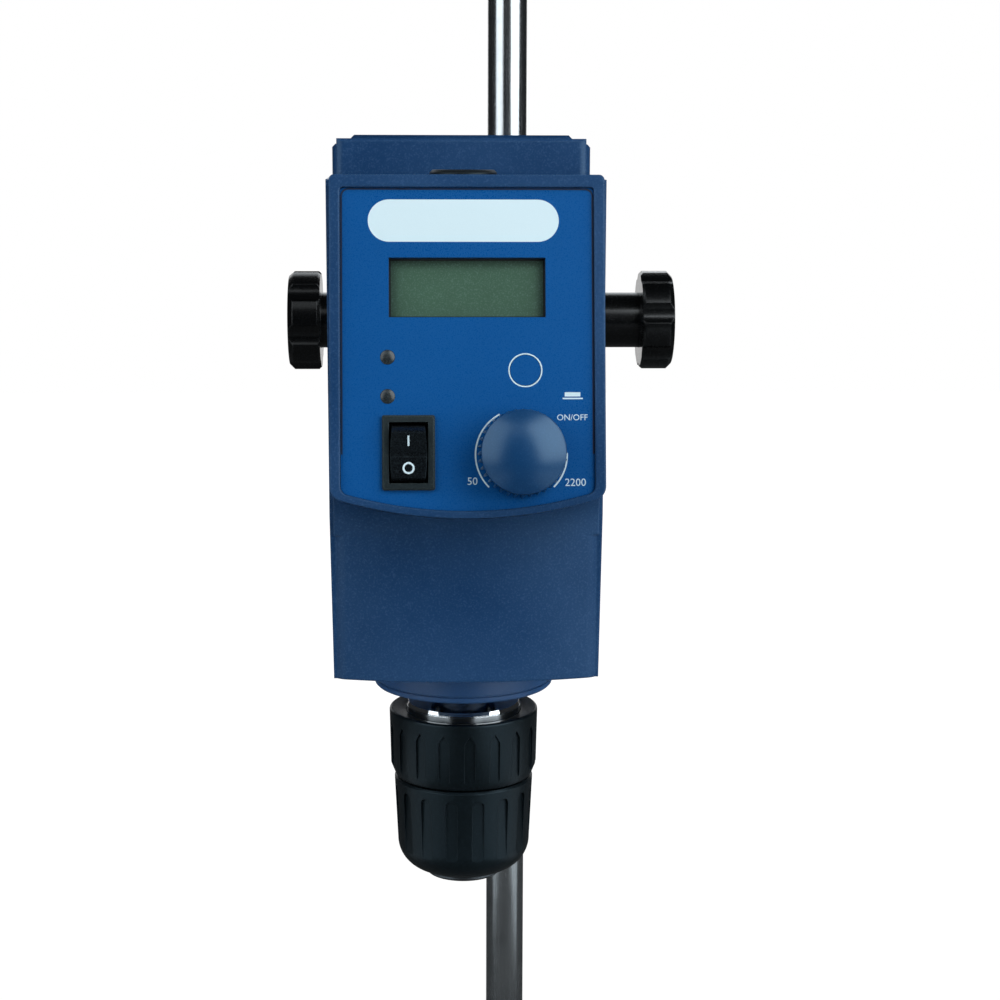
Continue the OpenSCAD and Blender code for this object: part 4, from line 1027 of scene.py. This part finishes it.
@dataclass
class RockerMarks:
    """The I and the O that are printed on the two faces of the rocker."""

    pivot: Point3 = (-16.6, 9.4, -2.9)
    swing: float = 18.0
    ridge: float = 4.4
    sunk: float = 0.02
    rise: float = 0.03
    bar: Point2 = (0.55, 2.9)
    bar_y: float = 4.05
    ring_radius: float = 1.4
    ring_line: float = 0.55
    ring_y: float = -3.6
    steps: int = 40

    def surface(self, x: float, y: float, lift: float) -> Point3:
        """Return a point above the rocker's faces, from its own x and y, at rest."""
        dish = math.radians(self.swing / 2)
        # each half face falls towards the ridge line from its raised end
        z = self.ridge + abs(y) * math.tan(dish) + lift
        turned_y = y * math.cos(dish) - z * math.sin(dish)
        turned_z = y * math.sin(dish) + z * math.cos(dish)
        return PANEL.point(self.pivot[0] + x, self.pivot[1] + turned_y, self.pivot[2] + turned_z)

    def build(self, wardrobe: Wardrobe) -> None:
        """Build both marks on the rocker."""
        lifts = (-self.sunk, self.rise)
        half_w, half_h, half_line = self.bar[0] / 2, self.bar[1] / 2, self.ring_line / 2
        corners = oblong(-half_w, half_w, self.bar_y - half_h, self.bar_y + half_h)
        points = [self.surface(x, y, lift) for lift in lifts for x, y in corners]
        bar = mesh_object("rocker_bar", points, prism_faces(4))
        angles = [2 * math.pi * i / self.steps for i in range(self.steps)]
        radii = (self.ring_radius - half_line, self.ring_radius + half_line)
        points = [self.surface(r * math.cos(a), self.ring_y + r * math.sin(a), lift)
                  for a in angles for r in radii for lift in lifts]
        ring = mesh_object("rocker_ring", points, bar_faces(self.steps, closed=True))
        marks = joined("rocker_marks", [bar, ring])
        wear_finish(marks, wardrobe.get("ink"))
        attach(marks, "rocker")


# ---------- repeated pieces, by geometry nodes ----------


@dataclass
class Repeater:
    """Sets copies of one small mesh at equal angles round an upright axis, by geometry nodes."""

    name: str
    count: int
    radius: float
    phase: float = 0.0
    centre: Point3 = ORIGIN

    def tree(self) -> bpy.types.NodeTree:
        """Build the node tree: a circle of points, a copy on each, realised and given a finish."""
        group = bpy.data.node_groups.new(self.name, "GeometryNodeTree")
        for name, way, kind in (("Geometry", "INPUT", "Geometry"), ("Count", "INPUT", "Int"),
                                ("Pitch Radius", "INPUT", "Float"), ("Phase", "INPUT", "Float"),
                                ("Finish", "INPUT", "Material"),
                                ("Geometry", "OUTPUT", "Geometry")):
            group.interface.new_socket(name, in_out=way, socket_type=f"NodeSocket{kind}")
        g = Nodes(group)
        source = g.add("NodeGroupInput")
        index = g.add("GeometryNodeInputIndex")["Index"]
        points = g.add("GeometryNodePoints", {"Count": source["Count"]})["Points"]
        turn = g.math("MULTIPLY_ADD", g.math("DIVIDE", index, source["Count"]), 2 * math.pi,
                      source["Phase"])
        out = g.add("ShaderNodeCombineXYZ",
                    {"X": g.math("COSINE", turn), "Y": g.math("SINE", turn)})["Vector"]
        spot = g.add("ShaderNodeVectorMath", {0: out, "Scale": source["Pitch Radius"]},
                     operation="SCALE")["Vector"]
        spin = g.add("ShaderNodeCombineXYZ", {"Z": turn})["Vector"]
        circle = g.add("GeometryNodeSetPosition", {"Geometry": points, "Position": spot})
        copies = g.add("GeometryNodeInstanceOnPoints",
                       {"Points": circle["Geometry"], "Instance": source["Geometry"],
                        "Rotation": spin})["Instances"]
        real = g.add("GeometryNodeRealizeInstances", {"Geometry": copies})["Geometry"]
        done = g.add("GeometryNodeSetMaterial", {"Geometry": real, "Material": source["Finish"]})
        g.add("NodeGroupOutput", {"Geometry": done["Geometry"]})
        return group

    def repeat(self, seed: Piece, material: Material) -> Piece:
        """Repeat a mesh and bake the copies.

        Args:
            seed: the mesh to repeat, made round the origin; it is removed.
            material: the copies' finish.

        Returns:
            One plain mesh that holds every copy, in place.
        """
        modifier = seed.modifiers.new("repeat", "NODES")
        modifier.node_group = self.tree()
        sockets = {item.name: item.identifier
                   for item in modifier.node_group.interface.items_tree if item.in_out == "INPUT"}
        modifier[sockets["Count"]] = self.count
        modifier[sockets["Pitch Radius"]] = self.radius / MM
        modifier[sockets["Phase"]] = math.radians(self.phase)
        modifier[sockets["Finish"]] = material
        mesh = evaluated(seed)
        discard(seed)
        mesh.transform(Matrix.Translation(Vector(self.centre) / MM))
        piece = placed(self.name, mesh)
        wear_finish(piece, material)
        return piece


@dataclass
class SpeedKnob:
    """The push-turn knob: a domed face over a skirt with fine ribs."""

    centre: Point2 = (15.1, 9.0)
    foot: float = 0.15
    foot_radius: float = 11.35
    neck_radius: float = 10.85
    neck_fall: float = 0.4
    face_radius: float = 11.75
    face_low: float = 10.6
    face_high: float = 11.6
    face_lip: float = 0.35
    peak: float = 14.95
    dome_inset: float = 0.15
    bevel: float = 0.3
    ribs: int = 36
    rib_width: float = 1.1
    rib_rise: float = 1.15
    rib_shoulder: Point2 = (0.7, 0.75)
    rib_root: float = 0.3
    rib_low: float = 0.5
    rib_gap: float = 0.1
    facets: int = 144
    dome_rings: int = 24

    def body(self) -> Piece:
        """Turn the face and the skirt about the knob's own axis."""
        rim = self.face_radius - self.dome_inset
        rise = self.peak - self.face_high
        ball = (rim ** 2 + rise ** 2) / (2 * rise)
        half = math.asin(rim / ball)
        angles = [half * (1 - i / self.dome_rings) for i in range(self.dome_rings + 1)]
        dome = [(ball * math.sin(a), self.peak - ball * (1 - math.cos(a))) for a in angles]
        profile = [(0.0, self.foot), (self.foot_radius - self.bevel, self.foot),
                   (self.foot_radius, self.foot + self.bevel),
                   (self.neck_radius, self.face_low - self.neck_fall),
                   (self.face_radius - self.bevel, self.face_low),
                   (self.face_radius, self.face_low + self.face_lip), *dome]
        return turned("speed_knob_body", profile, self.facets)

    def ribs_round(self, wardrobe: Wardrobe) -> Piece:
        """Repeat one rib, which leans with the skirt, round the axis."""
        half, rise, root = self.rib_width / 2, self.rib_rise, -self.rib_root
        crest_x, crest = half * self.rib_shoulder[0], rise * self.rib_shoulder[1]
        section = [(-half, root), (half, root), (crest_x, crest), (0.0, rise), (-crest_x, crest)]
        lean = self.neck_radius - self.foot_radius
        points = [(shift + out, across, z)
                  for shift, z in ((0.0, self.rib_low), (lean, self.face_low - self.rib_gap))
                  for across, out in section]
        seed = mesh_object("rib_seed", points, prism_faces(len(section)))
        ring = Repeater("speed_knob_ribs", self.ribs, self.foot_radius)
        return ring.repeat(seed, wardrobe.get("knob"))

    def build(self, wardrobe: Wardrobe) -> None:
        """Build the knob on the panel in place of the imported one."""
        knob = joined("speed_knob_face", [self.body(), self.ribs_round(wardrobe)])
        knob.data.transform(PANEL.matrix(*self.centre, 0.0))
        soften(knob.data)
        wear_finish(knob, wardrobe.get("knob"))
        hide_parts("speed_knob")
        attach(knob, "knob")


@dataclass
class RearShell:
    """The rear housing with the flat shoulders beside its raised field."""

    seam: float = 25.5
    front: float = 20.0
    rear: float = 125.0
    out: float = 60.0
    hump: float = 233.3
    step: float = 1.72
    inset: float = 3.05
    flare: float = 1.05
    tool_height: float = 9.0

    def build(self, wardrobe: Wardrobe) -> None:
        """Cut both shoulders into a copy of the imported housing, which it then replaces."""
        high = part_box("rear_housing")[1]
        shell = placed("rear_shell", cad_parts["rear_housing"].data.copy())
        wide = high[0] * MM - self.inset
        foot = self.hump - self.step
        flare = math.tan(math.radians(self.flare))
        for side in (-1, 1):
            plan = [(wide + (y - self.seam) * flare, y) for y in (self.front, self.rear)]
            plan += [(self.out, self.rear), (self.out, self.front)]
            points = [(side * x, y, z) for z in (foot, foot + self.tool_height) for x, y in plan]
            cut_away(shell, mesh_object("shoulder_tool", points, prism_faces(4)))
        flats = shell.modifiers.new("flats", "WEIGHTED_NORMAL")
        flats.keep_sharp = True
        flats.weight = 100
        wear_finish(shell, wardrobe.get("housing"))
        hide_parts("rear_housing")
        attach(shell, "head")


@dataclass
class ChuckTop:
    """The fixed sleeve with its grooves and the polished disc that stands proud of it."""

    foot: float = 33.3
    top: float = 54.8
    radius: float = 23.6
    taper: float = 0.4
    chamfer: Point2 = (1.4, 3.5)
    rim: float = 0.8
    rim_steps: int = 6
    fall: float = 1.0
    bore: float = 18.35
    disc_radius: float = 18.2
    disc_top: float = 57.0
    disc_seat: float = 53.6
    disc_wall: float = 0.15
    disc_edge: float = 0.3
    disc_lip: float = 0.1
    body_top: float = 55.05
    disc_slope: float = 7.0
    lid: float = 1.1
    spindle: float = 8.6
    grooves: int = 18
    groove_width: float = 3.3
    groove_depth: float = 0.9
    groove_top: float = 51.1
    groove_point: float = 0.8
    groove_phase: float = 13.8
    overrun: float = 1.0
    reach: float = 2.0
    facets: int = 192

    def sleeve(self, wardrobe: Wardrobe) -> Piece:
        """Turn the sleeve and cut its grooves."""
        side = self.radius - self.taper
        angles = [math.pi / 2 * i / self.rim_steps for i in range(self.rim_steps + 1)]
        arc = [(self.radius - self.rim + self.rim * math.cos(a),
                self.top - self.rim + self.rim * math.sin(a)) for a in angles]
        profile = [(self.bore, self.foot), (side - self.chamfer[0], self.foot),
                   (side, self.foot + self.chamfer[1]), *arc, (self.bore, self.top - self.fall),
                   (self.bore, self.foot)]
        sleeve = turned("upper_sleeve_grip", profile, self.facets)
        half, low = self.groove_width / 2, self.foot - self.overrun
        shoulder = self.groove_top - self.groove_width * self.groove_point
        outline = [(-half, low), (half, low), (half, shoulder), (0.0, self.groove_top),
                   (-half, shoulder)]
        points = [(x, y, z) for x in (-self.groove_depth, self.reach) for y, z in outline]
        seed = mesh_object("groove_seed", points, prism_faces(len(outline)))
        ring = Repeater("groove_tool", self.grooves, self.radius, self.groove_phase)
        cut_away(sleeve, ring.repeat(seed, wardrobe.get("sleeve")))
        return sleeve

    def disc(self) -> Piece:
        """Turn the disc: a lid over a stepped side wall, seated on the chuck's body."""
        r, edge, lip = self.disc_radius, self.disc_edge, self.disc_radius - self.disc_lip
        inside = r - self.disc_wall
        step = self.disc_top - self.lid
        peak = self.disc_top + (r - self.spindle) * math.tan(math.radians(self.disc_slope))
        profile = [(self.spindle, self.body_top), (inside, self.body_top),
                   (inside, self.disc_seat), (r, self.disc_seat), (lip, step - edge),
                   (r - edge, step - edge), (r - edge, step), (lip, step),
                   (r - 2 * edge, self.disc_top), (self.spindle, peak),
                   (self.spindle, self.body_top)]
        return turned("chuck_disc", profile, self.facets, smooth=25)

    def build(self, wardrobe: Wardrobe) -> None:
        """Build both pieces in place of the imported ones."""
        for piece, node, finish in ((self.sleeve(wardrobe), "upper_sleeve", "sleeve"),
                                    (self.disc(), "chuck_dish", "chrome")):
            wear_finish(piece, wardrobe.get(finish))
            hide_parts(node)
            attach(piece, "spindle_set")


@dataclass
class BearingBalls:
    """The balls of one spindle bearing, at the middle of its race."""

    name: str
    z: float
    count: int = 11
    pitch_radius: float = 13.0
    ball_radius: float = 3.1
    rings: int = 10
    facets: int = 16

    def build(self, wardrobe: Wardrobe) -> None:
        """Build the ring of balls on the head."""
        angles = [math.pi * i / self.rings for i in range(self.rings + 1)]
        profile = [(self.ball_radius * math.sin(a), -self.ball_radius * math.cos(a))
                   for a in angles]
        seed = turned(f"{self.name}_seed", profile, self.facets, smooth=60)
        ring = Repeater(self.name, self.count, self.pitch_radius, centre=(0.0, 0.0, self.z))
        balls = ring.repeat(seed, wardrobe.get("bearing"))
        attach(balls, "head")


# ---------- studio ----------


@dataclass
class Camera:
    """The view from the front, a little above the head."""

    place: Point3 = (-12.18, -625.73, 231.0)
    yaw: float = 2.168
    pitch: float = 9.933
    roll: float = 0.157
    focal_px: float = 2021.6
    width_px: float = 1000.0
    sensor: float = 36.0
    nearest: float = 0.01

    def build(self) -> None:
        """Make the camera the scene's own."""
        yaw, pitch, roll = (math.radians(a) for a in (self.yaw, self.pitch, self.roll))
        ahead = Vector((math.sin(yaw) * math.cos(pitch), math.cos(yaw) * math.cos(pitch),
                        -math.sin(pitch)))
        right = Vector((math.cos(yaw), -math.sin(yaw), 0.0))
        up = right.cross(ahead)
        leaned = right * math.cos(roll) + up * math.sin(roll)
        upright = -right * math.sin(roll) + up * math.cos(roll)
        turn = Matrix((leaned, upright, -ahead)).transposed().to_4x4()
        data = bpy.data.cameras.new("view_from_the_front")
        data.sensor_fit = "HORIZONTAL"
        data.sensor_width = self.sensor
        data.lens = self.focal_px * self.sensor / self.width_px
        data.clip_start = self.nearest
        camera = placed("view_from_the_front", data)
        camera.matrix_world = Matrix.Translation(Vector(self.place) / MM) @ turn
        bpy.context.scene.camera = camera
        log.info("camera at %s", self.place)


@dataclass
class Softbox:
    """One large soft lamp, aimed at the head."""

    name: str
    azimuth: float
    distance: float
    width: float
    height: float
    rise: float
    power: float
    aim: Point3 = (0.0, 0.0, 120.0)
    tint: str = "#F2FAFF"

    def build(self) -> None:
        """Hang the lamp."""
        a = math.radians(self.azimuth)
        target = Vector(self.aim) / MM
        across = Vector((math.sin(a) * self.distance, -math.cos(a) * self.distance, self.rise))
        place = target + across
        data = bpy.data.lights.new(self.name, "AREA")
        data.shape = "RECTANGLE"
        data.size = self.width
        data.size_y = self.height
        data.energy = self.power
        data.color = linear(self.tint)[:3]
        turn = (target - place).to_track_quat("-Z", "Y").to_matrix().to_4x4()
        placed(self.name, data).matrix_world = Matrix.Translation(place) @ turn
        log.info("lamp %s", self.name)


@dataclass
class Studio:
    """A floor and surroundings that are white to the camera, two pale cards and four softboxes."""

    floor_z: float = -208.5
    floor_half: float = 3000.0
    floor_glow: float = 1.09
    floor_dimmed: float = 0.6
    shadow_reach: Point2 = (350.0, 900.0)
    glow_share: Point2 = (0.9, 1.0)
    card_x: Point2 = (260.0, 1200.0)
    card_y: Point2 = (-1200.0, 150.0)
    card_lift: float = 1.0
    ambient: float = 0.035
    backdrop: Point2 = (0.86, 0.93)
    lamps: list[Softbox] = field(default_factory=lambda: [
        Softbox("softbox_left", -54.0, 1.25, 1.2, 1.6, 0.62, 12.0),
        Softbox("softbox_right", 50.0, 1.25, 1.45, 1.6, 0.66, 24.0),
        Softbox("softbox_top", 0.0, 1.1, 0.9, 0.5, 1.15, 1.0),
        Softbox("softbox_rear", 180.0, 1.6, 1.6, 1.0, 0.9, 6.0),
    ])

    def paper(self, name: str, pale: str, dark: str, dimmed: float) -> Material:
        """Return a paper that is white to the camera, with a trace of the shadow on it.

        Args:
            name: name of the material.
            pale: lighter shade that lights the object.
            dark: darker shade of its mottle.
            dimmed: share taken off what polished faces see of it.

        Returns:
            The material.
        """
        s = Surface(name)
        rays = s.add("ShaderNodeLightPath")
        seen = s.math("MAXIMUM", rays["Is Camera Ray"], rays["Is Transmission Ray"])
        far = s.ranged(s.length(s.place), self.shadow_reach, self.glow_share)
        mirrored = s.ranged(rays["Is Glossy Ray"], (0.0, 1.0), (0.0, dimmed))
        glow = s.add("ShaderNodeEmission", {"Color": WHITE, "Strength": self.floor_glow})[0]
        black = s.add("ShaderNodeEmission", {"Color": BLACK, "Strength": 0.0})[0]
        matt = s.shaded(Base_Color=s.mixed(s.noise(40.0, 2.0), pale, dark), Roughness=0.9)
        lit = s.blended(mirrored, matt, black)
        return s.finished(s.blended(s.math("MULTIPLY", seen, far), lit, glow))

    def floor(self) -> None:
        """Lay the floor."""
        whole = (-self.floor_half, self.floor_half)
        floor = sheet("floor", whole, whole, self.floor_z)
        wear_finish(floor, self.paper("seamless_paper", "#8E8E8E", "#868686", self.floor_dimmed))

    def cards(self) -> None:
        """Lay a pale card on the floor at each side, which fills the lower edges with light."""
        card_paper = self.paper("card_grey", "#DADEE0", "#D2D7D9", 0.0)
        near, far = self.card_x
        for name, side in (("card_left", -1), ("card_right", 1)):
            card = sheet(name, (side * near, side * far), self.card_y,
                         self.floor_z + self.card_lift)
            wear_finish(card, card_paper)

    def world(self) -> None:
        """Make the surroundings: white to the camera, dim grey to the object."""
        world = bpy.data.worlds.new("studio")
        bpy.context.scene.world = world
        world.use_nodes = True
        w = Nodes(world.node_tree)
        rays = w.add("ShaderNodeLightPath")
        way = w.split(w.add("ShaderNodeTexCoord")["Generated"])["Y"]
        mirrored = w.math("MULTIPLY", rays["Is Glossy Ray"],
                          w.ranged(way, self.backdrop, (0.0, 1.0)))
        seen = w.math("MAXIMUM", rays["Is Camera Ray"], rays["Is Transmission Ray"])
        dim = w.add("ShaderNodeBackground",
                    {"Color": linear("#C9CDD2"), "Strength": self.ambient})[0]
        white = w.add("ShaderNodeBackground", {"Color": WHITE, "Strength": 1.0})[0]
        w.add("ShaderNodeOutputWorld",
              {"Surface": w.blended(w.math("MAXIMUM", seen, mirrored), dim, white)})

    def build(self) -> None:
        """Build the floor, the cards, the world and the lamps."""
        self.floor()
        self.cards()
        self.world()
        for lamp in self.lamps:
            lamp.build()
        bpy.context.scene.view_settings.view_transform = "Standard"
        log.info("studio ready")


def main() -> None:
    """Build everything in order."""
    logging.basicConfig(level=logging.INFO, format="%(name)s: %(message)s")
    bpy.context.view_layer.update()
    Camera().build()
    Studio().build()
    wardrobe = Wardrobe()
    wardrobe.dress_nodes()
    makers: list[Any] = [
        PanelPrint(), FilmGapShadow(), Display(), RockerMarks(), SpeedKnob(), RearShell(), ChuckTop(),
        BearingBalls("lower_bearing_balls", 85.0), BearingBalls("upper_bearing_balls", 127.0),
    ]
    for maker in makers:
        maker.build(wardrobe)


if __name__ == "__main__":
    main()
